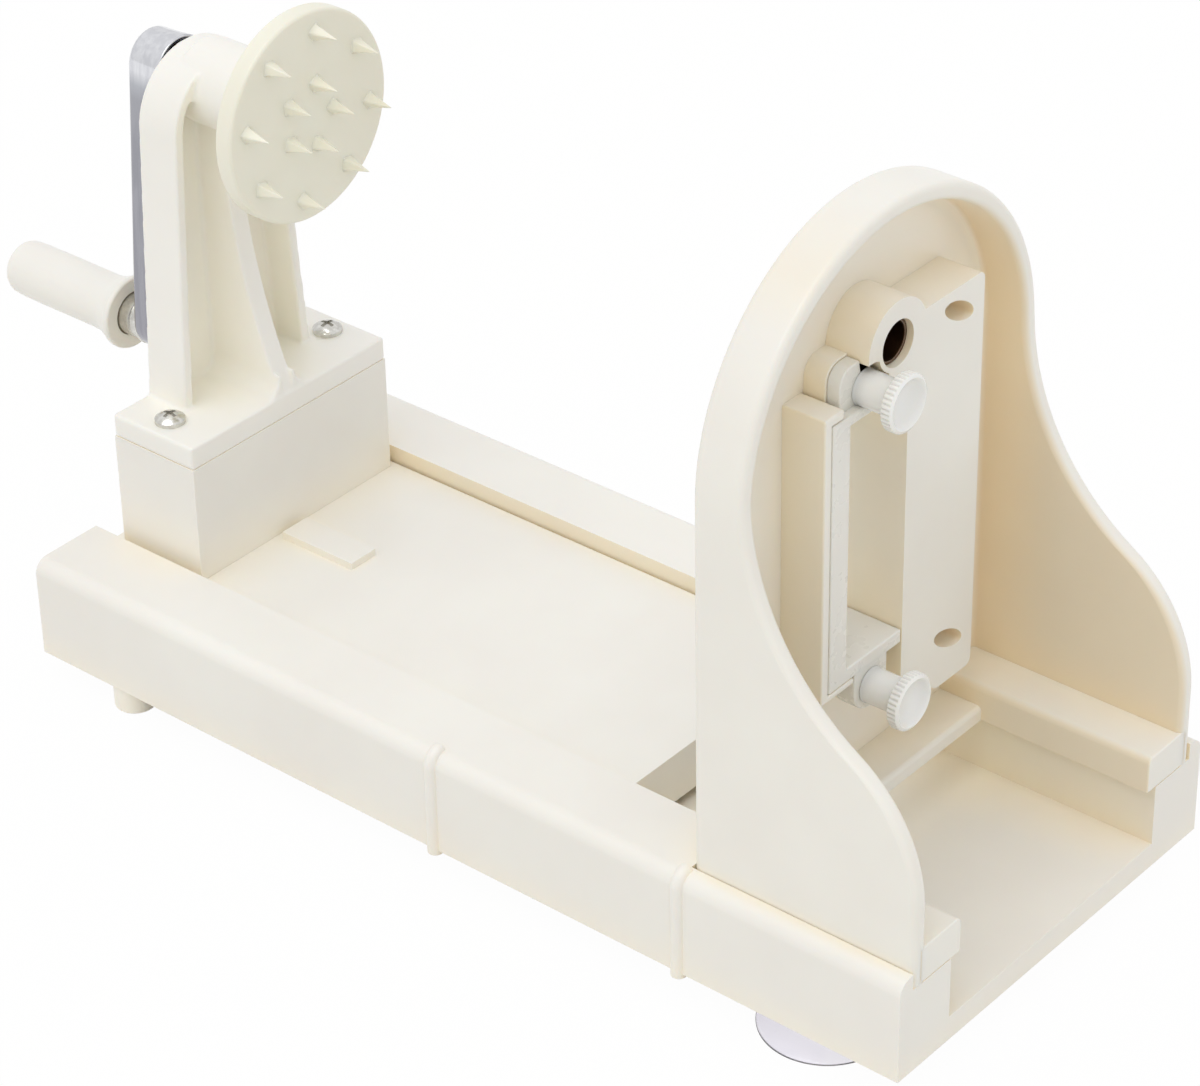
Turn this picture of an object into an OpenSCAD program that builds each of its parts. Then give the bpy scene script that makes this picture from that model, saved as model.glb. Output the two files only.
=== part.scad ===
// Hand cranked turning slicer. A carriage slides between two rails towards a hood; it carries a
// spiked disc with its crank, and the hood carries the blade unit and the core cutter.
// X runs from the crank to the blade, Y across the machine and Z up. Places are measured from the
// crank end of the base and the rails' bottom edge, and place() then moves each piece so that the
// origin lies on the table under the middle of the whole machine.

/* [Base] */
// Length of the base along the rails
base_l = 345; // [335:1:370]
// Width over both rails
base_w = 152; // [148:1:160]
// Height of the rails above their bottom edge
rail_h = 35; // [34:0.5:38]
// Width of one rail
rail_w = 27.5; // [26.5:0.5:29]
// Radius of the rails' outer top edge
rail_edge_r = 5; // [3:0.5:6]
// Thickness of the rails' side walls
rail_wall = 3; // [2:0.5:3.5]
// Thickness of the rails' top walls
rail_top_t = 3.5; // [2.5:0.5:4]
// Height of the floor between the rails
floor_z = 8.5; // [8:0.5:10]
// Thickness of the floor
floor_t = 3; // [2:0.5:4]
// Thickness of the base's end walls
end_wall = 3; // [2:0.5:4]
// Distance of the first bead from the crank end
bead_x = 170.3; // [120:0.1:200]
// Width of a bead
bead_w = 5; // [3:0.5:6]

/* [Feet and cups] */
// Height of the feet below the rails
foot_h = 9.5; // [7:0.5:12]
// Radius of a foot
foot_r = 7; // [6.5:0.5:8]
// Distance of the feet from the crank end
foot_x = 34; // [20:1:60]
// Rim radius of a suction cup
cup_r = 20.4; // [16:0.2:22]
// Distance of the cups from the blade end
cup_inset = 39; // [36:1:44]

/* [Carriage] */
// Length of the carriage plate
plate_l = 219.7; // [190:0.1:226]
// Height of the plate's top above the rails' bottom edge
plate_z = 29.4; // [28:0.1:29.5]
// Thickness of the plate and its skirts
plate_t = 3; // [2:0.5:3.5]
// Length of the raised key on the plate
key_l = 30.6; // [20:0.1:50]
// Width of the raised key
key_w = 11.4; // [8:0.1:20]
// Height of the raised key
key_h = 2.5; // [1:0.5:4]
// Distance of the key's middle from the middle of the plate
key_y = -4.3; // [-12:0.1:12]
// Distance the carriage slides
travel = 180; // [150:5:180]

/* [Headstock] */
// Distance of the headstock from the base's crank end
head_x = 9.3; // [8.5:0.1:10]
// Length of the block along the rails
block_l = 35.2; // [34:0.1:40]
// Distance of the block's sides from the sides of the carriage
block_inset = 2.5; // [2:0.1:5]
// Height of the block above the plate
block_h = 41.8; // [34:0.1:50]
// Wall of the block
block_wall = 3; // [2:0.5:4]
// Thickness of the post's flange
flange_t = 8; // [6:0.5:10]
// Height of the crank's axis above the rails' bottom edge
axis_z = 183.3; // [178:0.1:185]
// Half width of the post at its foot
post_foot_w = 29; // [27:0.5:31]
// Radius of the post's round top
post_top_r = 23.5; // [22:0.5:26]
// Depth of the post's side bands along X at the foot
band_foot_d = 17; // [15:0.5:19]
// Depth of the post's side bands along X at the top
band_top_d = 16.5; // [12:0.5:17]
// Thickness of the side bands
band_t = 3.5; // [2.5:0.5:5]
// Thickness of the post's web
web_t = 5; // [4:0.5:6]
// Thickness of the centre rib
rib_t = 7; // [6:0.5:10]
// Radius of the bearing boss
boss_r = 14; // [12:0.2:16]
// Length of the bearing boss
boss_l = 43.4; // [41:0.1:45]

/* [Crank] */
// Radius of the shaft
shaft_r = 4; // [3.5:0.1:5]
// Distance from the shaft to the handle pin
crank_r = 93.2; // [80:0.1:95]
// Width of the arm
arm_w = 22; // [20:0.1:24]
// Depth of the arm's channel
arm_d = 14.5; // [10:0.1:15]
// Sheet thickness of the arm
arm_t = 1.5; // [1:0.1:2]
// Gap between the arm's rim and the post
arm_gap = 2.8; // [2.5:0.1:6]
// Radius of the handle pin
pin_r = 4; // [3.5:0.1:4.5]
// Length of the grip from its collar to its end
grip_l = 53.1; // [45:0.1:65]
// Radius of the grip
grip_r = 9.5; // [9:0.1:12]
// Radius of the grip's collar
collar_r = 12.5; // [12:0.1:15]
// Length of the metal hub between arm and grip
hub_l = 13.4; // [12:0.1:19]
// Radius of the metal hub
hub_r = 7.2; // [6.5:0.1:8]

/* [Spiked disc] */
// Radius of the disc
disc_r = 34.5; // [31.5:0.1:37]
// Thickness of the disc
disc_t = 6.8; // [6:0.1:8]
// Length of the spikes
spike_l = 9; // [6:0.1:9.5]
// Radius of a spike at its root
spike_r = 2.8; // [2:0.1:3]
// Radius of the outer ring of spikes
spikes_out_r = 27.3; // [24:0.1:28]
// Radius of the inner ring of spikes
spikes_in_r = 10.6; // [9:0.1:14]
// Spikes in the outer ring
spikes_out_n = 8; // [6:1:10]
// Spikes in the inner ring
spikes_in_n = 5; // [3:1:6]

/* [Hood] */
// Distance of the hood's front plate from the blade end
hood_l = 78.8; // [74:0.1:80]
// Distance of the hood's side walls from the base's sides
hood_inset = 6.4; // [6.2:0.1:8]
// Height of the arch's centre above the rails' bottom edge
arch_z = 158.3; // [152:0.1:163]
// Wall of the hood
hood_wall = 6; // [3.5:0.1:6.5]
// Thickness of the hood's front plate
hood_plate_t = 3; // [2.5:0.1:4]
// Depth of the hood along the arch
arch_d = 17.5; // [16:0.1:24]
// Radius of the low round of the hood's side edge
low_curve_r = 47.5; // [44:0.1:64]
// Height of the hood's seat above the rails' bottom edge
seat_z = 29.5; // [29.5:0.1:31]
// Height of the hood's inner flanges
hood_flange_h = 12.3; // [10:0.1:16]
// Depth of the sill between the flanges
sill_d = 15.6; // [10:0.1:20]
// Height of the sill
sill_h = 5.3; // [4:0.1:8]

/* [Blade block] */
// Depth of the block behind the front plate
blade_block_d = 15; // [12:0.1:17]
// How far the slicing pad stands before the front plate
pad_t = 8.2; // [3:0.1:9]
// Distance of the block's left edge from the middle
block_left = 33; // [32:0.1:35]
// Distance of the block's right edge from the middle
block_right = 41.1; // [38:0.1:43]
// Left edge of the window
window_y0 = -21.1; // [-22:0.1:-19]
// Right edge of the window
window_y1 = 5.5; // [4:0.1:7]
// Distance of the window's top below the crank's axis
window_drop = 16.8; // [16:0.1:18]
// Height of the window
window_h = 81.2; // [76:0.1:84]
// Radius of the core cutter
core_r = 7.2; // [6.5:0.1:7.4]
// Wall of the core cutter
core_wall = 1.3; // [0.8:0.1:1.5]
// Distance of the upper knob's axis from the middle
upper_knob_y = -12; // [-12.5:0.1:-11.5]
// Distance of the lower knob's axis from the middle
lower_knob_y = -9.2; // [-11:0.1:-8]
// Distance of the upper knob below the crank's axis
knob_drop = 9.3; // [9:0.1:10]
// Distance of the lower knob below the window
lower_knob_drop = 11.6; // [11:0.1:13]
// Radius of a knob's head
knob_r = 9; // [8:0.1:10]
// Thickness of a knob's head
knob_t = 3.9; // [3.5:0.1:6]
// Radius of a knob's neck
neck_r = 5.5; // [5:0.1:6.2]
// Length of a knob's neck
neck_l = 11.7; // [7:0.1:13]
// Ridges round a knob's head
knurls = 36; // [24:2:40]

/* [Hidden] */
$fn = 64;

// Overrun of every cut
over = 1;
// Clearances: sliding plastic, turning metal, screw in its thread, screw through its hole
slide_gap = 0.3;
turn_gap = 0.05;
thread_gap = 0.05;
hole_gap = 0.4;
// Play of the blade holder in its pocket, and of flat faces that only touch
pocket_gap = 0.35;
face_gap = 0.1;

ivory = [0.93, 0.91, 0.86];
cool_white = [0.9, 0.89, 0.85];
knob_white = [0.95, 0.95, 0.94];
steel = [0.75, 0.76, 0.78];
chrome = [0.62, 0.62, 0.65];
brass = [0.78, 0.66, 0.36];
clear = [0.85, 0.84, 0.9, 0.4];

// Base
rail_out_y = base_w / 2;
rail_in_y = rail_out_y - rail_w;
groove_d = 3.3;
groove_h = 4.7;
rail_hollow_y0 = rail_in_y + groove_d + rail_wall;
rail_hollow_y1 = rail_out_y - rail_wall;
bead_out = 1.5;
hood_x = base_l - hood_l;
second_bead_x = hood_x - bead_w / 6;
bead_xs = [bead_x, second_bead_x];
seat_lip = 6.1;
seat_out_y = rail_out_y - seat_lip;
seat_ceiling = seat_z - rail_top_t;
crank_stop_h = 3;

// Screws under the machine: shank and head radius, head height
screw_r = 1.9;
screw_head_r = 3.6;
screw_head_t = 2.2;

// Feet and cups
foot_edge = 0.5;
foot_y = rail_out_y - foot_r - foot_edge;
foot_boss_r = 6;
foot_screw_l = 12;
foot_head_depth = 5;
cup_x = base_l - cup_inset;
cup_y = rail_in_y + rail_w / 3;
cup_boss_r = 11;
cup_boss_h = 12;
cup_waist_r = 4.5;
cup_button_r = 6;
cup_button_h = 3.6;
cup_lip = 3;
cup_neck_r = 7;
cup_skin = 1.6;
cup_rim_t = 0.9;

// Carriage
plate_x0 = end_wall + slide_gap;
plate_x1 = plate_x0 + plate_l;
plate_play = 1;
skirt_y = rail_in_y - plate_play;
block_w = 2 * (skirt_y - block_inset);
tongue_y = rail_in_y + groove_d - slide_gap - face_gap;
tongue_z0 = floor_z + slide_gap;
tongue_z1 = floor_z + groove_h - slide_gap;
plate_end_rise = 3.4;
plate_end_h = plate_z - floor_z - plate_end_rise;
lug_x = plate_x0 + plate_t + plate_t / 2;
lug_l = 4;
lug_w = 20;
key_gap = 2.5;
stop_h = 3;

// Headstock
head_x1 = head_x + block_l;
block_z1 = plate_z + block_h;
flange_z1 = block_z1 + flange_t;
post_screw_x = head_x + block_l / 2;
post_screw_inset = 8.3;
post_screw_y = block_w / 2 - post_screw_inset;
block_screw_inset = 8;
block_screw_xs = [head_x + block_screw_inset, head_x1 - block_screw_inset];
block_screw_y = block_w / 4;
column_r = 4.6;
top_boss_h = 18;
post_screw_l = 16;
block_screw_l = 12;
pan_r = 5;
pan_t = 3.3;
cross_w = 1.3;
cross_l = 5;
cross_d = 1.6;
post_arc_z = axis_z - post_top_r / 2;
rib_top_d = 17;
rib_foot_inset = 0.5;
rib_drop = 33.3;
rib_x_top = head_x + rib_top_d;
rib_x_foot = head_x1 - rib_foot_inset;
rib_z_top = axis_z - rib_drop;
rib_sag = 3;
rib_steps = 16;
foot_fillet = 7;
// Round tops of the recesses beside the rib
recess_side = 7.2;
recess_y = post_top_r - band_t - recess_side;
recess_r = 8.1;
recess_drop = 7.7;
recess_z = axis_z - recess_drop;

// Crank
bush_flange_t = 1.3;
bush_flange_r = 10;
bush_wall = 3;
bush_l = 12;
bush_r = shaft_r + turn_gap + bush_wall;
boss_back_l = 7.5;
boss_back_r = 11;
boss_x1 = head_x + boss_l;
disc_x0 = boss_x1 + bush_flange_t + slide_gap;
disc_x1 = disc_x0 + disc_t;
disc_skin = 1.5;
shaft_sink = disc_t - disc_skin;
flat_w = shaft_r * 1.5;
arm_rim_x = head_x - arm_gap;
arm_face_x = arm_rim_x - arm_d;
arm_inner_x = arm_face_x + arm_t;
stud_r = 3;
spacer_r = 7;
pin_z = axis_z - crank_r;
pin_tail_r = 3;
rivet_r = 5;
rivet_t = 1.6;
nut_r = 5.8;
nut_t = 2.4;
nut_cap_r = 4.4;
nut_cap_t = 1;
// Height of the middle of the arm's lower round above the handle pin
arm_lift = 3.5;
hub_sink = 4;
collar_x = arm_face_x - hub_l + hub_sink;
grip_x1 = collar_x - grip_l;
grip_end_r = 3.5;
collar_t = 4;
cup_depth = 5;
pin_end_wall = 6;
// Turn of the crank from hanging straight down
crank_swing = -4.72;

// Disc and spikes
disc_edge_r = 0.9;
spike_out_turn = -10;
spike_in_turn = -2;
spike_tip_r = 0.15;

// Hood
hood_foot_w = rail_out_y - hood_inset;
arch_draft = 0.1;
arch_r = hood_foot_w - arch_draft;
plate_back_x = hood_x + hood_plate_t;
arch_x = hood_x + arch_d;
hood_straight = 25.8;
arch_lead = 6.7;
low_curve_z = seat_z + hood_straight;
high_curve_z = arch_z + arch_lead;
curve_rise = high_curve_z - low_curve_z;
low_curve_x = base_l - low_curve_r;
curve_dx = low_curve_x - arch_x;
high_curve_r = (curve_rise * curve_rise + curve_dx * curve_dx - low_curve_r * low_curve_r)
    / (2 * (low_curve_r + curve_dx));
high_curve_x = arch_x + high_curve_r;
hood_overhang = 1.2;
hood_flange_y0 = rail_in_y - hood_overhang;
hood_flange_z1 = seat_z + hood_flange_h;
hood_screw_front = 17;
hood_screw_back = 12;
hood_screw_xs = [hood_x + hood_screw_front, base_l - hood_screw_back];
hood_screw_inset = 9.6;
hood_screw_y = hood_foot_w - hood_screw_inset;
hood_screw_l = 12;
flange_wall = 3;
flange_boss_r = 5;
sill_edge_r = 1.5;

// Blade block
block_front_x = plate_back_x + blade_block_d;
pad_x = hood_x - pad_t;
block_rise = 5.3;
block_drop = 31.1;
block_top_z = axis_z + block_rise;
window_z1 = axis_z - window_drop;
window_z0 = window_z1 - window_h;
block_foot_z = window_z0 - block_drop;
block_chamfer_y = 23.7;
block_chamfer_z = 12.8;
lobe_r = 13.6;
ledge_t = 3.4;
ledge_strip_t = 2;
foot_bar = 4.6;
top_bar = 3.8;
pocket_y0 = -block_left + ledge_t;
pocket_z0 = window_z0 - foot_bar - pocket_gap;
pocket_z1 = window_z1 + top_bar;
ledge_foot_z = pocket_z0 - ledge_strip_t;
cap_t = 3.1;
cap_l = 8.8;
cap_y1 = -block_left + cap_l;
cap_z1 = pocket_z1 + cap_t;
slot_y = 29;
slot_l = 15;
slot_w = 5;
slot_tilt = -26;
slot_low = 2.6;
slot_drop = 15.8;
slot_zs = [axis_z - slot_low, window_z0 - slot_drop];
slot_depth = 8;
upper_knob_z = axis_z - knob_drop;
lower_knob_z = window_z0 - lower_knob_drop;
upper_seat_sink = 2.7;
upper_seat_x = block_front_x - upper_seat_sink;
// Axis in Y and Z and seat along X of the two knobs
knobs = [[upper_knob_y, upper_knob_z, upper_seat_x], [lower_knob_y, lower_knob_z, block_front_x]];
tab_t = 7.4;
tab_r = 7.8;
tab_seat_x = block_front_x - tab_t;
// Body of the hood behind the blade unit's upper tab
body_side = 11.5;
body_rise = 9.7;
body_sink = 1.5;
body_edge_r = 6;
body_y0 = upper_knob_y - body_side;
body_z1 = upper_knob_z + body_rise;
body_front_x = upper_seat_x - body_sink;
stud_r_knob = 2;
insert_r = 3.2;
insert_l = 6;
holder_front_x = pad_x + face_gap;
core_hole_r = core_r + turn_gap;
ring_land = 1.5;
ring_land_r = core_hole_r + ring_land;
core_out = 3.5;
core_in = 2.2;
core_x0 = pad_x - core_out;
core_x1 = block_front_x - core_in;
core_bevel = 2;
blade_t = 1;
blade_inset = 1;
blade_reach = 1.5;
blade_y0 = pocket_y0 + blade_inset;
blade_y1 = window_y0 + blade_reach;
blade_bevel = 3;
blade_screw_r = 1.2;
blade_screw_head_r = 2.4;
blade_screw_l = 7;
blade_screw_inset = 3.8;
blade_screw_y = pocket_y0 + blade_screw_inset;
blade_screw_zs = [window_z0 + window_h / 6, window_z1 - window_h / 6];
knob_dish_r = 6;
knob_dish_d = 1.2;
knurl_r = 0.45;

// The whole machine
mid_x = (base_l + grip_x1) / 2;

module place() {
    translate([-mid_x, 0, foot_h]) children();
}

// An outline given in Y and Z, drawn out along X
module slab_x(x0, x1) {
    translate([x0, 0, 0]) rotate([90, 0, 90]) linear_extrude(x1 - x0) children();
}

// An outline given in X and Z, drawn out along Y
module slab_y(y0, y1) {
    translate([0, y1, 0]) rotate([90, 0, 0]) linear_extrude(y1 - y0) children();
}

module rod_x(x0, x1, r, y = 0, z = 0) {
    translate([x0, y, z]) rotate([0, 90, 0]) cylinder(h = x1 - x0, r = r);
}

// A profile of radius and place along X, turned round an axis along X
module turned_x(y = 0, z = 0) {
    translate([0, y, z]) rotate([0, 90, 0]) rotate_extrude() rotate(90) mirror([0, 1]) children();
}

module rod_z(z0, z1, r, x, y) {
    translate([x, y, z0]) cylinder(h = z1 - z0, r = r);
}

module brick(xs, ys, zs) {
    translate([xs[0], ys[0], zs[0]]) cube([xs[1] - xs[0], ys[1] - ys[0], zs[1] - zs[0]]);
}

module both_sides() {
    children();
    mirror([0, 1, 0]) children();
}

// An upright slot shape between two heights
module upright_slot(r, z0, z1) {
    translate([0, z0]) circle(r);
    translate([0, z1]) circle(r);
    translate([-r, z0]) square([2 * r, z1 - z0]);
}

// Base
module rail_outline() {
    translate([rail_in_y, 0]) square([rail_w - rail_edge_r, rail_h]);
    translate([rail_in_y, 0]) square([rail_w, rail_h - rail_edge_r]);
    translate([rail_out_y - rail_edge_r, rail_h - rail_edge_r]) circle(rail_edge_r);
}

// One rail before its hollows are cut
module rail_solid() {
    slab_x(0, base_l) difference() {
        rail_outline();
        translate([rail_in_y - over, floor_z]) square([groove_d + over, groove_h]);
    }
}

// A half round rib up the side of a rail and over its rounded edge
module bead(x) {
    turn_r = rail_edge_r + bead_out - bead_w / 2;
    rod_z(-bead_out, rail_h - rail_edge_r, bead_w / 2, x, rail_out_y - rail_edge_r + turn_r);
    translate([x, rail_out_y - rail_edge_r, rail_h - rail_edge_r]) rotate([0, -90, 0])
        rotate_extrude(angle = 90) translate([turn_r, 0]) circle(bead_w / 2);
}

module rail_hollows() {
    rib = rail_wall / 2;
    for (span = [
            [end_wall, bead_x - rib, rail_h - rail_top_t],
            [bead_x + rib, second_bead_x - rib, rail_h - rail_top_t],
            [second_bead_x + rib, base_l - end_wall, seat_ceiling]])
        brick([span[0], span[1]], [rail_hollow_y0, rail_hollow_y1], [-over, span[2]]);
}

module base_side() {
    difference() {
        union() {
            difference() {
                rail_solid();
                rail_hollows();
            }
            for (x = bead_xs) bead(x);
            rod_z(0, rail_h - rail_top_t, foot_boss_r, foot_x, foot_y);
            rod_z(0, cup_boss_h, cup_boss_r, cup_x, cup_y);
        }
        brick([hood_x, base_l + over], [rail_in_y - over, seat_out_y], [seat_z, rail_h + over]);
        rod_z(-over, foot_screw_l, screw_r + thread_gap, foot_x, foot_y);
        rod_z(-over, cup_lip + over, cup_waist_r + turn_gap, cup_x, cup_y);
        rod_z(cup_lip, cup_lip + cup_button_h + face_gap, cup_button_r + hole_gap, cup_x, cup_y);
        brick([hood_x, base_l + over], [0, rail_in_y + groove_d], [floor_z, rail_h + over]);
        for (x = hood_screw_xs)
            rod_z(seat_ceiling - over, seat_z + over, screw_r + hole_gap, x, hood_screw_y);
    }
}

module base_frame() {
    color(ivory) place() {
        both_sides() base_side();
        difference() {
            union() {
                brick([0, base_l], [-rail_in_y - over, rail_in_y + over], [floor_z - floor_t, floor_z]);
                brick([0, end_wall], [-rail_in_y - over, rail_in_y + over], [0, floor_z]);
                brick([base_l - end_wall, base_l], [-rail_in_y - over, rail_in_y + over], [0, floor_z]);
                brick([0, end_wall], [-rail_in_y - over, rail_in_y + over],
                    [floor_z, floor_z + crank_stop_h]);
                brick([lug_x + lug_l + travel, lug_x + 2 * lug_l + travel], [-lug_w / 2, lug_w / 2],
                    [floor_z, floor_z + stop_h]);
            }
            both_sides() rod_z(cup_lip, cup_lip + cup_button_h + face_gap,
                cup_button_r + hole_gap, cup_x, cup_y);
        }
    }
}

module feet() {
    color(ivory) place() both_sides() difference() {
        rod_z(-foot_h, 0, foot_r, foot_x, foot_y);
        rod_z(-foot_h - over, -foot_h + foot_head_depth, screw_head_r + hole_gap, foot_x, foot_y);
        rod_z(-foot_h, over, screw_r + hole_gap, foot_x, foot_y);
    }
}

// A screw driven upwards, with its head below z
module up_screw(x, y, z, l) {
    translate([x, y, z - screw_head_t]) cylinder(h = screw_head_t, r = screw_head_r);
    translate([x, y, z]) cylinder(h = l, r = screw_r);
}

module foot_screws() {
    color(steel) place() both_sides()
        up_screw(foot_x, foot_y, -foot_h + foot_head_depth, foot_screw_l + foot_h - foot_head_depth - over);
}

module suction_cups() {
    color(clear) place() both_sides() translate([cup_x, cup_y, 0]) rotate_extrude() polygon([
        [0, -foot_h + 3 * cup_skin], [cup_r / 3, -foot_h + 2.5 * cup_skin],
        [cup_r * 0.75, -foot_h + cup_skin], [cup_r - cup_rim_t, -foot_h], [cup_r, -foot_h],
        [cup_r, -foot_h + cup_rim_t], [cup_r * 0.78, -foot_h + 2 * cup_skin],
        [cup_r * 0.5, -foot_h + 3.4 * cup_skin], [cup_neck_r + cup_skin, -cup_skin - face_gap],
        [cup_neck_r, -face_gap], [cup_waist_r, -face_gap], [cup_waist_r, cup_lip + face_gap],
        [cup_button_r, cup_lip + face_gap], [cup_button_r - cup_skin / 2, cup_lip + cup_button_h],
        [0, cup_lip + cup_button_h]]);
}

// Hood
module arch_outline(inset = 0) {
    translate([0, arch_z]) circle(arch_r - inset);
    polygon([[-hood_foot_w + inset, seat_z - over], [hood_foot_w - inset, seat_z - over],
        [arch_r - inset, arch_z], [-arch_r + inset, arch_z]]);
}

// Side view of the hood: straight foot, a round out, a round in, and the depth of the arch
module hood_profile(x0) {
    lean = low_curve_r / (low_curve_r + high_curve_r);
    meet_x = low_curve_x + (high_curve_x - low_curve_x) * lean;
    meet_z = low_curve_z + curve_rise * lean;
    intersection() {
        translate([x0, seat_z]) square([base_l - x0, arch_z + arch_r]);
        union() {
            translate([x0, seat_z]) square([base_l - x0, low_curve_z - seat_z]);
            translate([x0, seat_z]) square([arch_x - x0, arch_z + arch_r]);
            intersection() {
                translate([low_curve_x, low_curve_z]) circle(low_curve_r, $fn = 128);
                translate([x0, low_curve_z - over]) square([base_l - x0, low_curve_r + 2 * over]);
            }
            difference() {
                polygon([[x0, low_curve_z], [low_curve_x, low_curve_z], [meet_x, meet_z],
                    [high_curve_x, high_curve_z], [x0, high_curve_z]]);
                translate([high_curve_x, high_curve_z]) circle(high_curve_r, $fn = 128);
            }
        }
    }
}

module hood_shell() {
    difference() {
        intersection() {
            slab_x(hood_x, base_l) difference() {
                arch_outline();
                translate([-base_w, seat_z - 2 * over]) square([2 * base_w, 2 * over]);
            }
            slab_y(-base_w, base_w) hood_profile(hood_x);
        }
        slab_x(plate_back_x, base_l + over) arch_outline(hood_wall);
    }
}

// Hollow flange along one side wall, with bosses for its screws
module hood_flange() {
    slope = 1.2;
    difference() {
        slab_x(plate_back_x - over, base_l) polygon([[hood_flange_y0, seat_z],
            [hood_foot_w - hood_wall / 2, seat_z], [hood_foot_w - hood_wall / 2, hood_flange_z1],
            [hood_flange_y0 + slope, hood_flange_z1], [hood_flange_y0, hood_flange_z1 - slope]]);
        difference() {
            brick([plate_back_x + flange_wall, base_l - flange_wall],
                [hood_flange_y0 + flange_wall + groove_d, hood_foot_w - hood_wall - face_gap],
                [seat_z - over, hood_flange_z1 - flange_wall]);
            for (x = hood_screw_xs) rod_z(seat_z, hood_flange_z1, flange_boss_r, x, hood_screw_y);
        }
        for (x = hood_screw_xs)
            rod_z(seat_z - over, seat_z + hood_screw_l - rail_top_t + over, screw_r + thread_gap, x,
                hood_screw_y);
    }
}

module sill() {
    slab_y(-hood_flange_y0 - over, hood_flange_y0 + over) {
        translate([plate_back_x - over, seat_z]) square([sill_d + over, sill_h - sill_edge_r]);
        translate([plate_back_x - over, seat_z]) square([sill_d + over - sill_edge_r, sill_h]);
        translate([plate_back_x + sill_d - sill_edge_r, seat_z + sill_h - sill_edge_r])
            circle(sill_edge_r);
    }
}

// Outline of the blade block without its window and pocket
module blade_block_outline() {
    translate([0, axis_z]) circle(lobe_r);
    polygon([[window_y1, block_foot_z + block_chamfer_z], [block_chamfer_y, block_foot_z],
        [block_right, block_foot_z], [block_right, block_top_z], [window_y1, block_top_z]]);
    translate([-block_left, pocket_z0])
        square([block_left + window_y1, cap_z1 - pocket_z0]);
    translate([-block_left, ledge_foot_z]) square([block_left + lower_knob_y - tab_r
        - pocket_gap, ledge_strip_t + over]);
}

// Outline of the deep part of the blade holder's pocket, drawn in by inset
module deep_outline(inset = 0) {
    translate([pocket_y0 + inset, pocket_z0 + inset])
        square([window_y1 - pocket_y0 - 2 * inset, window_z1 - pocket_z0 - 2 * inset]);
}

// Outline of the top bar and the upper tab, drawn in by inset
module top_outline(inset = 0) {
    difference() {
        union() {
            translate([upper_knob_y, upper_knob_z]) circle(tab_r + pocket_gap - inset);
            translate([cap_y1 + inset, window_z1 - over])
                square([upper_knob_y - cap_y1 - inset, cap_z1 + pocket_gap - inset - window_z1 + over]);
            translate([pocket_y0 + inset, window_z1 - over])
                square([window_y1 - pocket_y0 - 2 * inset, top_bar + over - inset]);
        }
        translate([0, axis_z]) circle(ring_land_r + inset);
    }
}

// Outline of the body behind the upper tab
module body_outline() {
    translate([body_y0 + body_edge_r, body_z1 - body_edge_r]) circle(body_edge_r);
    translate([body_y0, pocket_z1]) square([-body_y0, body_z1 - body_edge_r - pocket_z1]);
    translate([body_y0 + body_edge_r, pocket_z1])
        square([-body_y0 - body_edge_r, body_z1 - pocket_z1]);
}

module slot_outline(z) {
    translate([slot_y, z]) rotate(slot_tilt) {
        translate([-(slot_l - slot_w) / 2, -slot_w / 2]) square([slot_l - slot_w, slot_w]);
        for (side = [-1, 1]) translate([side * (slot_l - slot_w) / 2, 0]) circle(slot_w / 2);
    }
}

module hood() {
    color(ivory) place() difference() {
        union() {
            hood_shell();
            both_sides() hood_flange();
            sill();
            slab_x(pad_x, block_front_x) blade_block_outline();
            slab_x(plate_back_x - over, body_front_x) body_outline();
            rod_x(plate_back_x - over, tab_seat_x - face_gap, tab_r, lower_knob_y, lower_knob_z);
        }
        slab_x(pad_x - over, block_front_x + over) deep_outline();
        slab_x(tab_seat_x, block_front_x + over) top_outline();
        for (z = slot_zs) slab_x(block_front_x - slot_depth, block_front_x + over) slot_outline(z);
        rod_x(pad_x - over, block_front_x + over, core_hole_r, 0, axis_z);
        for (k = knobs)
            rod_x(tab_seat_x - insert_l - face_gap, block_front_x, insert_r + thread_gap, k[0], k[1]);
    }
}

module hood_screws() {
    color(steel) place() both_sides() for (x = hood_screw_xs)
        up_screw(x, hood_screw_y, seat_ceiling, hood_screw_l);
}

module core_ring() {
    color(steel) place() turned_x(0, axis_z) polygon([[core_x0, core_r - core_wall],
        [core_x1, core_r - core_wall], [core_x1, core_r], [core_x0 + core_bevel, core_r]]);
}

module holder_inserts() {
    color(brass) place() for (k = knobs) difference() {
        rod_x(tab_seat_x - insert_l - face_gap, tab_seat_x - 2 * face_gap, insert_r, k[0], k[1]);
        rod_x(tab_seat_x - insert_l - over, tab_seat_x + over, stud_r_knob + turn_gap, k[0], k[1]);
    }
}

// Carriage
module carriage_side() {
    brick([plate_x0, plate_x1], [skirt_y - plate_t, skirt_y], [tongue_z0, plate_z]);
    brick([plate_x0, plate_x1], [skirt_y - plate_t, tongue_y], [tongue_z0, tongue_z1]);
}

module carriage_plate() {
    color(ivory) place() difference() {
        union() {
            brick([plate_x0, plate_x1], [-skirt_y, skirt_y], [plate_z - plate_t, plate_z]);
            both_sides() carriage_side();
            for (x = [plate_x0, plate_x1 - plate_t])
                brick([x, x + plate_t], [-skirt_y, skirt_y], [plate_z - plate_end_h, plate_z]);
            brick([lug_x, lug_x + lug_l], [-lug_w / 2, lug_w / 2], [tongue_z0, plate_z - plate_t / 2]);
            brick([head_x1 + key_gap, head_x1 + key_gap + key_l], [key_y - key_w / 2, key_y + key_w / 2],
                [plate_z - plate_t / 2, plate_z + key_h]);
        }
        both_sides() for (x = block_screw_xs)
            rod_z(plate_z - plate_t - over, plate_z + over, screw_r + hole_gap, x, block_screw_y);
    }
}

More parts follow.
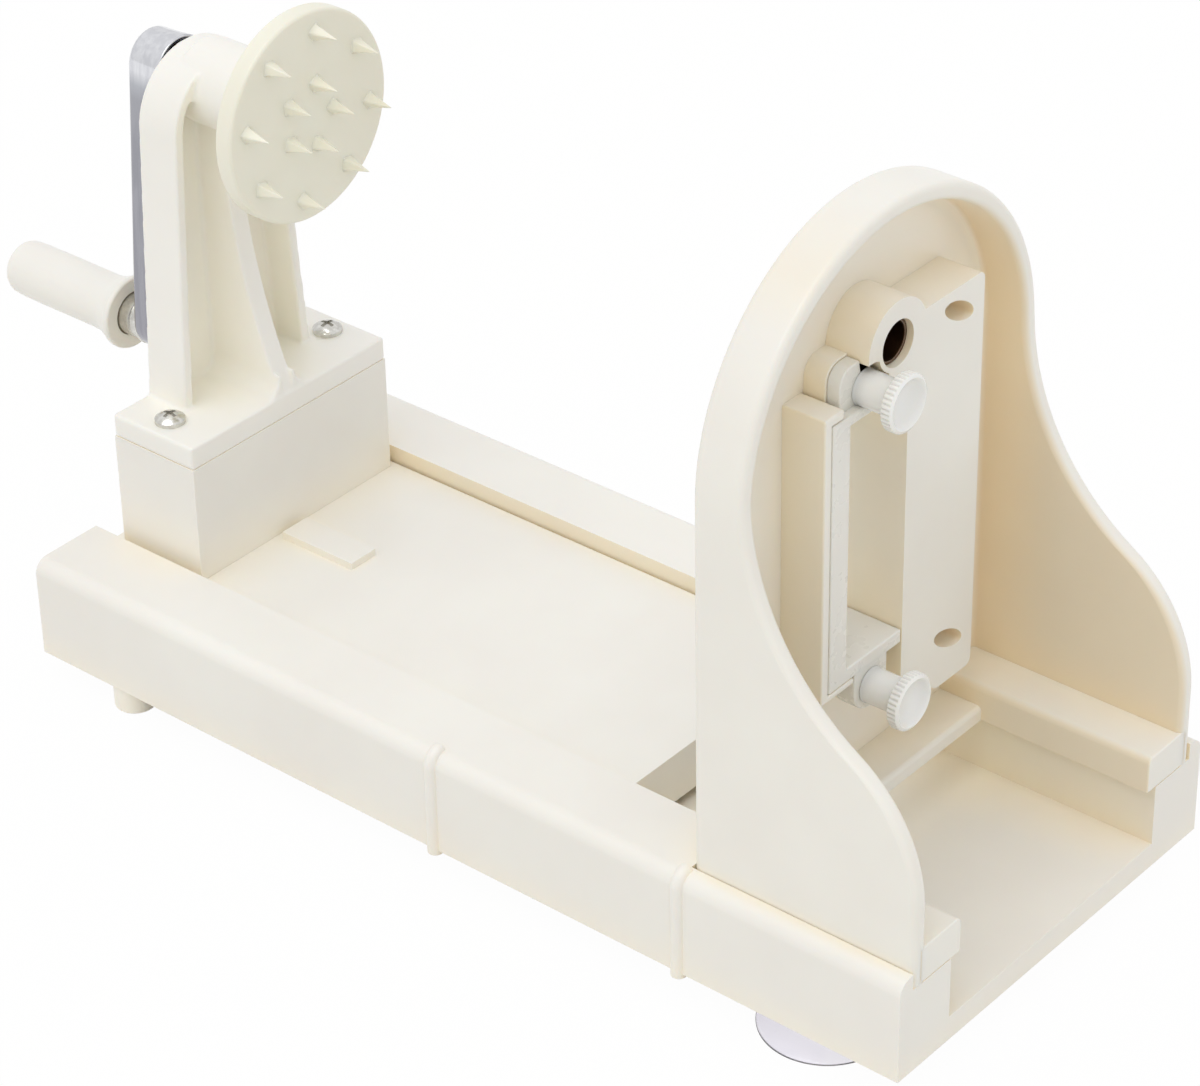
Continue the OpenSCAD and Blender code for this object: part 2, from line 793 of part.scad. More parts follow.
module headstock_block() {
    color(ivory) place() difference() {
        union() {
            difference() {
                brick([head_x, head_x1], [-block_w / 2, block_w / 2], [plate_z, block_z1]);
                brick([head_x + block_wall, head_x1 - block_wall],
                    [-block_w / 2 + block_wall, block_w / 2 - block_wall],
                    [plate_z - over, block_z1 - block_wall]);
            }
            both_sides() {
                for (x = block_screw_xs) rod_z(plate_z, block_z1, column_r, x, block_screw_y);
                rod_z(block_z1 - top_boss_h, block_z1, column_r, post_screw_x, post_screw_y);
            }
        }
        both_sides() {
            for (x = block_screw_xs)
                rod_z(plate_z - over, plate_z + block_screw_l, screw_r + thread_gap, x, block_screw_y);
            rod_z(block_z1 - post_screw_l, block_z1 + over, screw_r + thread_gap, post_screw_x,
                post_screw_y);
        }
    }
}

module block_screws() {
    color(steel) place() both_sides() for (x = block_screw_xs)
        up_screw(x, block_screw_y, plate_z - plate_t, block_screw_l);
}

// The post seen along X, drawn in by inset
module post_outline(inset = 0) {
    translate([0, post_arc_z]) circle(post_top_r - inset);
    polygon([[-post_foot_w + inset, flange_z1 - over], [post_foot_w - inset, flange_z1 - over],
        [post_top_r - inset, post_arc_z], [-post_top_r + inset, post_arc_z]]);
}

module bands() {
    intersection() {
        slab_x(head_x, head_x1) difference() {
            post_outline();
            post_outline(band_t);
        }
        slab_y(-block_w, block_w) polygon([[head_x, block_z1], [head_x + band_foot_d, block_z1],
            [head_x + band_top_d, post_arc_z], [head_x + band_top_d, axis_z + post_top_r],
            [head_x, axis_z + post_top_r]]);
    }
}

// Solid between bands and boss, down to the round tops of the recesses
module recess_top() {
    slab_x(head_x, head_x + band_top_d) difference() {
        intersection() {
            post_outline(band_t / 2);
            translate([-post_foot_w, recess_z]) square(2 * post_foot_w);
        }
        for (side = [-1, 1]) translate([side * recess_y, recess_z]) circle(recess_r);
    }
}

// Hollow curve of the centre rib's front edge, from its top down to the flange
function rib_edge(t) = let (
        run = [rib_x_foot - rib_x_top, flange_z1 - rib_z_top],
        side = [run[1], -run[0]] / norm(run))
    [rib_x_top, rib_z_top] + run * t + side * rib_sag * 4 * t * (1 - t);

module centre_rib() {
    slab_y(-rib_t / 2, rib_t / 2) polygon(concat(
        [[head_x + web_t / 2, flange_z1 - over], [head_x + web_t / 2, axis_z],
            [rib_x_top, axis_z]],
        [for (i = [0 : rib_steps]) rib_edge(i / rib_steps)],
        [[rib_x_foot, flange_z1 - over]]));
}

// Fillet along one side of the rib's foot
module rib_fillet() {
    translate([0, rib_t / 2, flange_z1]) slab_x(head_x + web_t / 2, rib_x_foot) difference() {
        translate([-over, -over]) square(foot_fillet + over);
        translate([foot_fillet, foot_fillet]) circle(foot_fillet);
    }
}

module headstock_post() {
    color(ivory) place() difference() {
        union() {
            brick([head_x, head_x1], [-block_w / 2, block_w / 2], [block_z1, flange_z1]);
            slab_x(head_x, head_x + web_t) post_outline();
            bands();
            recess_top();
            centre_rib();
            both_sides() rib_fillet();
            rod_x(head_x, boss_x1, boss_back_r, 0, axis_z);
            rod_x(head_x + boss_back_l, boss_x1, boss_r, 0, axis_z);
        }
        rod_x(head_x - over, boss_x1 + over, bush_r + thread_gap, 0, axis_z);
        both_sides() rod_z(block_z1 - over, flange_z1 + over, screw_r + hole_gap, post_screw_x,
            post_screw_y);
    }
}

module pan_screw(x, y, z, l) {
    translate([x, y, z]) difference() {
        intersection() {
            cylinder(h = pan_t, r = pan_r);
            translate([0, 0, pan_t - pan_r * 1.5]) sphere(pan_r * 1.5);
        }
        for (turn = [0, 90]) rotate(turn)
            translate([-cross_l / 2, -cross_w / 2, pan_t - cross_d])
                cube([cross_l, cross_w, cross_d + over]);
    }
    translate([x, y, z - l]) cylinder(h = l, r = screw_r);
}

module post_screws() {
    color(steel) place() both_sides()
        pan_screw(post_screw_x, post_screw_y, flange_z1, post_screw_l + flange_t - over);
}

module rear_bush() {
    color(steel) place() difference() {
        union() {
            rod_x(head_x, head_x + bush_l, bush_r, 0, axis_z);
            rod_x(head_x - bush_flange_t, head_x, bush_flange_r, 0, axis_z);
        }
        rod_x(head_x - bush_flange_t - over, head_x + bush_l + over, shaft_r + turn_gap, 0, axis_z);
    }
}

module front_bush() {
    color(steel) place() difference() {
        union() {
            rod_x(boss_x1 - bush_l, boss_x1, bush_r, 0, axis_z);
            rod_x(boss_x1, boss_x1 + bush_flange_t, bush_flange_r, 0, axis_z);
        }
        rod_x(boss_x1 - bush_l - over, boss_x1 + bush_flange_t + over, shaft_r + turn_gap, 0, axis_z);
    }
}

// Crank
module swung() {
    translate([0, 0, axis_z]) rotate([crank_swing, 0, 0]) translate([0, 0, -axis_z]) children();
}

module flatted_end(x0, x1, gap = 0) {
    intersection() {
        rod_x(x0, x1, shaft_r + gap, 0, axis_z);
        brick([x0, x1], [-shaft_r * 2, shaft_r * 2],
            [axis_z - flat_w / 2 - gap, axis_z + flat_w / 2 + gap]);
    }
}

module crank_shaft() {
    color(steel) place() {
        rod_x(arm_inner_x, disc_x0, shaft_r, 0, axis_z);
        flatted_end(disc_x0, disc_x0 + shaft_sink);
        rod_x(arm_face_x - nut_t, arm_inner_x, stud_r, 0, axis_z);
    }
}

module spike(r, turn) {
    translate([disc_x1, 0, axis_z]) rotate([turn, 0, 0]) translate([-spike_r / 4, r, 0])
        rotate([0, 90, 0]) cylinder(h = spike_l + spike_r / 4, r1 = spike_r, r2 = spike_tip_r, $fn = 4);
}

module spiked_disc() {
    color(ivory) place() {
        difference() {
            turned_x(0, axis_z) {
                translate([disc_x0, 0]) square([disc_t, disc_r - disc_edge_r]);
                translate([disc_x0 + disc_edge_r, 0]) square([disc_t - 2 * disc_edge_r, disc_r]);
                for (x = [disc_x0 + disc_edge_r, disc_x1 - disc_edge_r])
                    translate([x, disc_r - disc_edge_r]) circle(disc_edge_r);
            }
            flatted_end(disc_x0 - over, disc_x0 + shaft_sink + thread_gap, thread_gap);
        }
        for (i = [0 : spikes_out_n - 1]) spike(spikes_out_r, spike_out_turn + i * 360 / spikes_out_n);
        for (i = [0 : spikes_in_n - 1]) spike(spikes_in_r, spike_in_turn + i * 360 / spikes_in_n);
    }
}

module arm_spacer() {
    color(steel) place() difference() {
        rod_x(arm_inner_x, head_x - bush_flange_t - slide_gap, spacer_r, 0, axis_z);
        rod_x(arm_inner_x - over, head_x + over, shaft_r + thread_gap, 0, axis_z);
    }
}

module crank_arm() {
    color(chrome) place() swung() difference() {
        slab_x(arm_face_x, arm_rim_x) upright_slot(arm_w / 2, pin_z + arm_lift, axis_z);
        slab_x(arm_inner_x, arm_rim_x + over)
            upright_slot(arm_w / 2 - arm_t, pin_z + arm_lift, axis_z);
        rod_x(arm_face_x - over, arm_rim_x, stud_r + thread_gap, 0, axis_z);
        rod_x(arm_face_x - over, arm_rim_x, pin_tail_r + thread_gap, 0, pin_z);
    }
}

module arm_nut() {
    color(steel) place() difference() {
        union() {
            translate([arm_face_x, 0, axis_z]) rotate([0, -90, 0]) cylinder(h = nut_t, r = nut_r, $fn = 6);
            rod_x(arm_face_x - nut_t - nut_cap_t, arm_face_x - nut_t / 2, nut_cap_r, 0, axis_z);
        }
        rod_x(arm_face_x - nut_t - thread_gap, arm_face_x + over, stud_r + thread_gap, 0, axis_z);
    }
}

module handle_pin() {
    color(steel) place() swung() {
        rod_x(arm_inner_x, arm_inner_x + rivet_t, rivet_r, 0, pin_z);
        rod_x(arm_face_x - hub_l, arm_inner_x, pin_tail_r, 0, pin_z);
        rod_x(grip_x1 + pin_end_wall, arm_face_x - hub_l, pin_r, 0, pin_z);
    }
}

module handle_hub() {
    color(steel) place() swung() difference() {
        rod_x(arm_face_x - hub_l, arm_face_x, hub_r, 0, pin_z);
        rod_x(arm_face_x - hub_l - over, arm_face_x + over, pin_tail_r + thread_gap, 0, pin_z);
    }
}

module handle_grip() {
    color(ivory) place() swung() difference() {
        turned_x(0, pin_z) {
            translate([grip_x1 + grip_end_r, 0]) square([grip_l - grip_end_r, grip_r]);
            translate([grip_x1, 0]) square([grip_l, grip_r - grip_end_r]);
            translate([grip_x1 + grip_end_r, grip_r - grip_end_r]) circle(grip_end_r);
            polygon([[collar_x, 0], [collar_x, collar_r - collar_t / 8],
                [collar_x - collar_t / 8, collar_r], [collar_x - collar_t / 2, collar_r],
                [collar_x - collar_t, collar_r - collar_t / 3],
                [collar_x - 2.5 * collar_t, grip_r], [collar_x - 2.5 * collar_t, 0]]);
        }
        rod_x(grip_x1 + pin_end_wall - face_gap, collar_x + over, pin_r + turn_gap, 0, pin_z);
        rod_x(collar_x - cup_depth, collar_x + over, hub_r + slide_gap, 0, pin_z);
    }
}

// Blade unit
module blade_holder() {
    color(cool_white) place() difference() {
        union() {
            slab_x(holder_front_x, block_front_x) difference() {
                deep_outline(pocket_gap);
                translate([window_y0, window_z0]) square([window_y1 - window_y0, window_h]);
            }
            slab_x(tab_seat_x + face_gap, upper_seat_x) difference() {
                top_outline(pocket_gap);
                translate([window_y0, window_z0]) square([window_y1 - window_y0, window_h]);
            }
            slab_x(tab_seat_x + face_gap, block_front_x) {
                translate([lower_knob_y, lower_knob_z]) circle(tab_r);
                translate([lower_knob_y - tab_r, lower_knob_z])
                    square([2 * tab_r, window_z0 - foot_bar / 2 - lower_knob_z]);
            }
        }
        for (k = knobs)
            rod_x(tab_seat_x - over, block_front_x + over, stud_r_knob + turn_gap, k[0], k[1]);
        for (z = blade_screw_zs)
            rod_x(holder_front_x - over, holder_front_x + blade_screw_l, blade_screw_r + thread_gap,
                blade_screw_y, z);
    }
}

module main_blade() {
    color(steel) place() difference() {
        translate([0, 0, window_z0 - foot_bar / 2]) linear_extrude(window_h + foot_bar / 4) polygon([
            [holder_front_x, blade_y0], [holder_front_x, blade_y1 - blade_bevel],
            [holder_front_x - blade_t, blade_y1], [holder_front_x - blade_t, blade_y0]]);
        for (z = blade_screw_zs)
            rod_x(holder_front_x - blade_t - over, holder_front_x + over, blade_screw_r + hole_gap / 2,
                blade_screw_y, z);
    }
}

module blade_screws() {
    color(steel) place() for (z = blade_screw_zs) {
        rod_x(holder_front_x - blade_t, holder_front_x + blade_screw_l - over, blade_screw_r,
            blade_screw_y, z);
        rod_x(holder_front_x - 2 * blade_t, holder_front_x - blade_t, blade_screw_head_r,
            blade_screw_y, z);
    }
}

module knob(k) {
    neck_x0 = k[2] + face_gap;
    head_x0 = neck_x0 + neck_l;
    color(knob_white) place() difference() {
        union() {
            rod_x(neck_x0, head_x0, neck_r, k[0], k[1]);
            rod_x(head_x0, head_x0 + knob_t, knob_r, k[0], k[1]);
        }
        for (i = [0 : knurls - 1]) translate([head_x0 - over, k[0], k[1]])
            rotate([i * 360 / knurls, 0, 0]) translate([0, knob_r, 0]) rotate([0, 90, 0])
                cylinder(h = knob_t - knob_dish_d / 2 + over, r = knurl_r);
        turned_x(k[0], k[1]) polygon([[head_x0 + knob_t - knob_dish_d, 0],
            [head_x0 + knob_t - knob_dish_d, knob_dish_r - knob_dish_d],
            [head_x0 + knob_t + over, knob_dish_r], [head_x0 + knob_t + over, 0]]);
        rod_x(k[2], head_x0, stud_r_knob + thread_gap, k[0], k[1]);
    }
}

module stud(k) {
    color(steel) place()
        rod_x(tab_seat_x - insert_l, k[2] + neck_l, stud_r_knob, k[0], k[1]);
}

module upper_knob() {
    knob(knobs[0]);
}

module lower_knob() {
    knob(knobs[1]);
}

module upper_stud() {
    stud(knobs[0]);
}

module lower_stud() {
    stud(knobs[1]);
}

base_frame();
feet();
foot_screws();
suction_cups();
hood();
hood_screws();
core_ring();
holder_inserts();
carriage_plate();
headstock_block();
block_screws();
headstock_post();
post_screws();
rear_bush();
front_bush();
crank_shaft();
spiked_disc();
arm_spacer();
crank_arm();
arm_nut();
handle_pin();
handle_hub();
handle_grip();
blade_holder();
main_blade();
blade_screws();
upper_knob();
upper_stud();
lower_knob();
lower_stud();
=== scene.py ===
# Looks of the hand cranked turning slicer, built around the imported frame.
# Lengths are in millimetres in the part's own measuring frame: X from the crank end of the base,
# Z from the rails' bottom edge. place() turns them into metres in the frame.
import math

import bmesh
import bpy
from mathutils import Matrix, Vector

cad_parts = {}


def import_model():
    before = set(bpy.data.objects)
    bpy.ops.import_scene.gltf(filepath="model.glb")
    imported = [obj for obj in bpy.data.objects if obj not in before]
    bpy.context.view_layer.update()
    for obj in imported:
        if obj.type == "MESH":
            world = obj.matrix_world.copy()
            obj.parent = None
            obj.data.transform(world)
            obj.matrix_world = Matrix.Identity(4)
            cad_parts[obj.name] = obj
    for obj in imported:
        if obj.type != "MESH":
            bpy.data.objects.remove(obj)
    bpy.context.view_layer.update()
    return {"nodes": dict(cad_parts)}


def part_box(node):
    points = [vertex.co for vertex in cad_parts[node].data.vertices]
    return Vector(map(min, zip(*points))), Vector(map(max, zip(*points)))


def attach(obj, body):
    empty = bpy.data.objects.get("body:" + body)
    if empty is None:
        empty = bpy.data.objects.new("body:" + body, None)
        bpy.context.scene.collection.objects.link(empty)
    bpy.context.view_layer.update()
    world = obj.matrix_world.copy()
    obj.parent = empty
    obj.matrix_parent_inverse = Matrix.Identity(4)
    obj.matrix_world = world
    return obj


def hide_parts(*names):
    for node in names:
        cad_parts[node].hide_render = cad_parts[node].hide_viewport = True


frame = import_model()

MM = 0.001
X0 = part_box("base_frame")[0].x
Z0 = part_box("feet")[1].z


def box_mm(node):
    """Lowest and highest corner of a node in the measuring frame."""
    low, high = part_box(node)
    return [[(c.x - X0) / MM, c.y / MM, (c.z - Z0) / MM] for c in (low, high)]


def place(p):
    """A point of the measuring frame, in metres in the frame."""
    return Vector((X0 + p[0] * MM, p[1] * MM, Z0 + p[2] * MM))


# Named lengths, read from the frame where a node gives them
BASE_X1 = box_mm("base_frame")[1][0]
HOOD = box_mm("hood")
HOLDER = box_mm("blade_holder")
CORE = box_mm("core_ring")
SHAFT = box_mm("crank_shaft")
AXIS_Z = (SHAFT[0][2] + SHAFT[1][2]) / 2
FRONT_X = HOLDER[1][0]
ARM = box_mm("crank_arm")
GRIP = box_mm("handle_grip")
DISC = box_mm("spiked_disc")
POST = box_mm("headstock_post")
HUB = box_mm("handle_hub")
FOOT_W = HOOD[1][1]
ARCH_R = FOOT_W - 0.1
ARCH_Z = HOOD[1][2] - ARCH_R
PIN = box_mm("handle_pin")
PIN_Y = (PIN[0][1] + PIN[1][1]) / 2
PIN_Z = (PIN[0][2] + PIN[1][2]) / 2
SWING = math.atan2(PIN_Y, AXIS_Z - PIN_Z)
CRANK_R = math.hypot(PIN_Y, AXIS_Z - PIN_Z)


# Materials
def srgb(r, g, b):
    """A colour of 0 to 255 as the linear values that shaders take."""
    out = []
    for c in (r, g, b):
        c /= 255
        out.append(c / 12.92 if c <= 0.04045 else ((c + 0.055) / 1.055) ** 2.4)
    return (*out, 1.0)


def new_material(name):
    """A new material with its node tree and main shader."""
    m = bpy.data.materials.new(name)
    m.use_nodes = True
    nt = m.node_tree
    return m, nt, nt.nodes["Principled BSDF"]


def noise(nt, scale, detail=2.0, rough=0.5):
    """Noise fixed to the object."""
    co = nt.nodes.new("ShaderNodeTexCoord")
    n = nt.nodes.new("ShaderNodeTexNoise")
    n.inputs["Scale"].default_value = scale
    n.inputs["Detail"].default_value = detail
    n.inputs["Roughness"].default_value = rough
    nt.links.new(co.outputs["Object"], n.inputs["Vector"])
    return n


def ramp(nt, source, stops):
    """A colour ramp of (position, colour) stops over a value."""
    r = nt.nodes.new("ShaderNodeValToRGB")
    el = r.color_ramp.elements
    while len(el) < len(stops):
        el.new(0.5)
    for e, (pos, col) in zip(el, stops):
        e.position = pos
        e.color = col
    nt.links.new(source, r.inputs["Fac"])
    return r


def grey(v):
    return (v, v, v, 1.0)


def maths(nt, operation, first, second):
    """A maths node. Each input is a socket or a number."""
    node = nt.nodes.new("ShaderNodeMath")
    node.operation = operation
    for socket, value in zip(node.inputs, (first, second)):
        if isinstance(value, (int, float)):
            socket.default_value = value
        else:
            nt.links.new(value, socket)
    return node.outputs[0]


def span(nt, source, start, end, low=0.0, high=1.0):
    """A value carried from the stretch start to end over to low to high."""
    node = nt.nodes.new("ShaderNodeMapRange")
    node.inputs["From Min"].default_value = start
    node.inputs["From Max"].default_value = end
    node.inputs["To Min"].default_value = low
    node.inputs["To Max"].default_value = high
    nt.links.new(source, node.inputs["Value"])
    return node.outputs["Result"]


def axes_of(nt, socket):
    """The three parts of a vector."""
    node = nt.nodes.new("ShaderNodeSeparateXYZ")
    nt.links.new(socket, node.inputs["Vector"])
    return node.outputs


def openness(nt, samples, reach):
    """How open a place is, from 0 in a crevice to 1."""
    node = nt.nodes.new("ShaderNodeAmbientOcclusion")
    node.samples = samples
    node.inputs["Distance"].default_value = reach
    return node.outputs["AO"]


def multiply(nt, bsdf, base, over, factor=1.0):
    """Set a shader's colour to base times over. Over is a socket or a colour, factor a socket or 1."""
    mix = nt.nodes.new("ShaderNodeMix")
    mix.data_type = "RGBA"
    mix.blend_type = "MULTIPLY"
    nt.links.new(base, mix.inputs["A"])
    if isinstance(over, tuple):
        mix.inputs["B"].default_value = over
    else:
        nt.links.new(over, mix.inputs["B"])
    if isinstance(factor, float):
        mix.inputs["Factor"].default_value = factor
    else:
        nt.links.new(factor, mix.inputs["Factor"])
    nt.links.new(mix.outputs["Result"], bsdf.inputs["Base Color"])


def bump(nt, bsdf, source, strength, distance):
    """Fine relief on a shader."""
    b = nt.nodes.new("ShaderNodeBump")
    b.inputs["Strength"].default_value = strength
    b.inputs["Distance"].default_value = distance
    nt.links.new(source, b.inputs["Height"])
    nt.links.new(b.outputs["Normal"], bsdf.inputs["Normal"])


def plastic(name, light, dark, crevice, rough=0.3, sub=0.12, reach=0.03, free=grey(1.0)):
    """Moulded plastic: cloudy colour, painted light and shade by how open a place is (the crevice colour in
    hemmed-in places, the free colour on open faces), satin gloss and fine unevenness.
    """
    m, nt, b = new_material(name)
    cloud = ramp(nt, noise(nt, 22, 3).outputs["Fac"], [(0.35, dark), (0.65, light)])
    # Painted light and shade: the colour is multiplied by the crevice colour where the place is hemmed in
    # and by the free colour where it is open.
    near = ramp(nt, openness(nt, 8, reach), [(0.35, crevice), (0.9, free)])
    multiply(nt, b, cloud.outputs["Color"], near.outputs["Color"])
    gloss = ramp(nt, noise(nt, 160, 4).outputs["Fac"],
                 [(0.3, grey(rough - 0.02)), (0.7, grey(rough + 0.02))])
    nt.links.new(gloss.outputs["Color"], b.inputs["Roughness"])
    b.inputs["Subsurface Weight"].default_value = sub
    b.inputs["Subsurface Radius"].default_value = (1.0, 0.62, 0.36)
    b.inputs["Subsurface Scale"].default_value = 0.004
    b.inputs["IOR"].default_value = 1.5
    bump(nt, b, noise(nt, 2600, 2, 0.5).outputs["Fac"], 0.03, 0.00005)
    return m


def paint_shade_on_facing(material, painted_shade_tints, within=None):
    """Paint shade on the faces that look towards -Y, each painted tint fading in between two places along Y.

    within = (height of the arch's middle, radius) leaves the outside of the arch alone.
    """
    nt = material.node_tree
    b = nt.nodes["Principled BSDF"]
    geo = nt.nodes.new("ShaderNodeNewGeometry")
    turn = axes_of(nt, geo.outputs["Normal"])
    spot = axes_of(nt, geo.outputs["Position"])
    inside = None
    if within:
        raised = maths(nt, "MAXIMUM", maths(nt, "SUBTRACT", spot["Z"], within[0]), 0.0)
        flat = nt.nodes.new("ShaderNodeCombineXYZ")
        nt.links.new(spot["Y"], flat.inputs["X"])
        nt.links.new(raised, flat.inputs["Y"])
        away = nt.nodes.new("ShaderNodeVectorMath")
        away.operation = "LENGTH"
        nt.links.new(flat.outputs["Vector"], away.inputs[0])
        inside = maths(nt, "LESS_THAN", away.outputs["Value"], within[1])
    for start, end, tint in painted_shade_tints:
        share = maths(nt, "MULTIPLY", span(nt, turn["Y"], -0.1, -0.8), span(nt, spot["Y"], start, end))
        if inside:
            share = maths(nt, "MULTIPLY", share, inside)
        multiply(nt, b, b.inputs["Base Color"].links[0].from_socket, tint, share)


def metal(name, light, dark, rough, grain, strength=0.06):
    """Metal with a fine drawn grain along one direction and slightly uneven polish."""
    m, nt, b = new_material(name)
    co = nt.nodes.new("ShaderNodeTexCoord")
    mp = nt.nodes.new("ShaderNodeMapping")
    mp.inputs["Scale"].default_value = grain
    nt.links.new(co.outputs["Object"], mp.inputs["Vector"])
    n = nt.nodes.new("ShaderNodeTexNoise")
    n.inputs["Scale"].default_value = 1.0
    n.inputs["Detail"].default_value = 4.0
    nt.links.new(mp.outputs["Vector"], n.inputs["Vector"])
    col = ramp(nt, n.outputs["Fac"], [(0.4, dark), (0.6, light)])
    nt.links.new(col.outputs["Color"], b.inputs["Base Color"])
    gloss = ramp(nt, noise(nt, 140, 3).outputs["Fac"],
                 [(0.3, grey(rough)), (0.7, grey(rough + 0.08))])
    nt.links.new(gloss.outputs["Color"], b.inputs["Roughness"])
    b.inputs["Metallic"].default_value = 1.0
    bump(nt, b, n.outputs["Fac"], strength, 0.0001)
    return m


def paint_shade_in_hollows(material, reach, stops):
    """Paint shade in hollows: multiply a material's colour by a ramp over how open the place is."""
    nt = material.node_tree
    b = nt.nodes["Principled BSDF"]
    over = ramp(nt, openness(nt, 16, reach), stops)
    multiply(nt, b, b.inputs["Base Color"].links[0].from_socket, over.outputs["Color"])


def paint_shade_by_height(material, low, high, stops):
    """Paint shade and reflection by height: multiply a material's colour by a ramp over the height, from low
    to high in metres.
    """
    nt = material.node_tree
    b = nt.nodes["Principled BSDF"]
    geo = nt.nodes.new("ShaderNodeNewGeometry")
    height = span(nt, axes_of(nt, geo.outputs["Position"])["Z"], low, high)
    over = ramp(nt, height, stops)
    multiply(nt, b, b.inputs["Base Color"].links[0].from_socket, over.outputs["Color"])


def clear_plastic(name, light, dark):
    """Soft clear plastic with a faint violet cast and a slightly rippled surface."""
    m, nt, b = new_material(name)
    tint = ramp(nt, noise(nt, 40, 2).outputs["Fac"], [(0.35, dark), (0.65, light)])
    nt.links.new(tint.outputs["Color"], b.inputs["Base Color"])
    gloss = ramp(nt, noise(nt, 90, 2).outputs["Fac"], [(0.3, grey(0.02)), (0.7, grey(0.06))])
    nt.links.new(gloss.outputs["Color"], b.inputs["Roughness"])
    b.inputs["Transmission Weight"].default_value = 0.95
    b.inputs["IOR"].default_value = 1.45
    bump(nt, b, noise(nt, 120, 2).outputs["Fac"], 0.08, 0.0004)
    return m


# Painted light: the first colour is painted warm bounce light for hemmed-in ivory, the second a painted
# dimming of open faces.
PAINTED_BOUNCE_WARM = (1.0, 0.965, 0.89, 1.0)
PAINTED_OPEN_DIMMING = (0.845, 0.85, 0.86, 1.0)
IVORY_LIGHT, IVORY_DARK = srgb(249, 246, 238), srgb(246, 242, 234)
IVORY = plastic("ivory_plastic", IVORY_LIGHT, IVORY_DARK, PAINTED_BOUNCE_WARM, free=PAINTED_OPEN_DIMMING)
# Painted shade: the base's hemmed-in places are painted warm, and its faces that look towards -Y on the far
# side get a painted warm shade.
IVORY_BASE = plastic("ivory_plastic_base", IVORY_LIGHT, IVORY_DARK, (1.0, 0.94, 0.82, 1.0), free=PAINTED_OPEN_DIMMING)
paint_shade_on_facing(IVORY_BASE, [(0.02, 0.04, (1.0, 0.96, 0.87, 1.0))])
# Painted shade: the hood's hemmed-in places are painted warm, and inside the arch its faces that look
# towards -Y get painted warm shade, deeper on the far side.
IVORY_IN = plastic("ivory_plastic_hood", srgb(249, 246, 237), srgb(246, 242, 233),
                   (1.0, 0.95, 0.86, 1.0), free=PAINTED_OPEN_DIMMING)
paint_shade_on_facing(IVORY_IN, [(-0.05, -0.035, (1.0, 0.945, 0.84, 1.0)), (0.0, 0.06, (0.955, 0.91, 0.84, 1.0))],
           (place((0, 0, ARCH_Z))[2], 0.0735))
# Painted light: the post is the same ivory given a lighter colour and a wider reach, with painted warm
# bounce light in its recesses and painted dimming of open faces.
IVORY_POST = plastic("ivory_plastic_post", srgb(254, 252, 246), srgb(251, 249, 242),
                     (1.0, 0.985, 0.93, 1.0), reach=0.045, free=(0.84, 0.84, 0.845, 1.0))
# Painted light and shade: the crevice and free colours of the disc, holder and knob plastics; the knob's
# grey crevice colour is painted shade in its ridges and dish.
IVORY_DISC = plastic("ivory_plastic_disc", srgb(242, 240, 225), srgb(239, 236, 220),
                     (1.0, 0.98, 0.92, 1.0), 0.34, free=grey(0.9))
COOL = plastic("white_plastic", srgb(236, 235, 230), srgb(232, 230, 224),
               (0.93, 0.92, 0.88, 1.0), 0.28, free=grey(0.93))
KNOB = plastic("knob_plastic", srgb(242, 242, 240), srgb(238, 238, 235),
               grey(0.6), 0.22, reach=0.006, free=grey(0.93))
CHROME = metal("bright_chrome", srgb(226, 227, 231), srgb(214, 215, 220), 0.1, (400, 400, 40))
# Painted reflection: the chrome is painted dim below about 0.19 m and keeps its full colour above, standing
# in for the dark surroundings its arm's sides reflect and the bright sky its rounded top reflects.
paint_shade_by_height(CHROME, 0.08, 0.2, [(0.0, (0.47, 0.46, 0.49, 1.0)), (0.86, (0.5, 0.5, 0.52, 1.0)),
                                 (0.9, (0.62, 0.63, 0.65, 1.0)), (0.94, grey(1.0))])
STEEL = metal("turned_steel", srgb(196, 197, 202), srgb(176, 177, 184), 0.22, (900, 60, 60))
NICKEL = metal("nickel", srgb(222, 221, 216), srgb(206, 204, 198), 0.16, (500, 500, 500))
BLADE = metal("ground_steel", srgb(208, 210, 214), srgb(186, 188, 194), 0.2, (900, 900, 40), 0.12)
# Painted shade: the core cutter's bore is painted dark brown where it is hemmed in, standing in for the
# darkness it reflects.
CUTTER = metal("bored_steel_painted_shade", srgb(214, 212, 208), srgb(200, 197, 192), 0.38, (900, 900, 40), 0.12)
paint_shade_in_hollows(CUTTER, 0.02, [(0.5, (0.2, 0.11, 0.06, 1.0)), (0.8, grey(1.0))])
BRASS = metal("brass", srgb(206, 176, 104), srgb(190, 158, 88), 0.25, (600, 600, 600))
CLEAR = clear_plastic("clear_cup", srgb(244, 242, 248), srgb(236, 233, 243))


# Mesh helpers
def obj_from(name, verts, faces):
    """A mesh object from points in the measuring frame."""
    me = bpy.data.meshes.new(name)
    me.from_pydata([place(v) for v in verts], [], faces)
    me.update()
    ob = bpy.data.objects.new(name, me)
    bpy.context.scene.collection.objects.link(ob)
    fix_normals(ob)
    return ob


def fix_normals(ob):
    bm = bmesh.new()
    bm.from_mesh(ob.data)
    bmesh.ops.recalc_face_normals(bm, faces=bm.faces[:])
    bm.to_mesh(ob.data)
    bm.free()


def apply_modifiers(ob):
    deps = bpy.context.evaluated_depsgraph_get()
    me = bpy.data.meshes.new_from_object(ob.evaluated_get(deps))
    old = ob.data
    ob.modifiers.clear()
    ob.data = me
    bpy.data.meshes.remove(old)


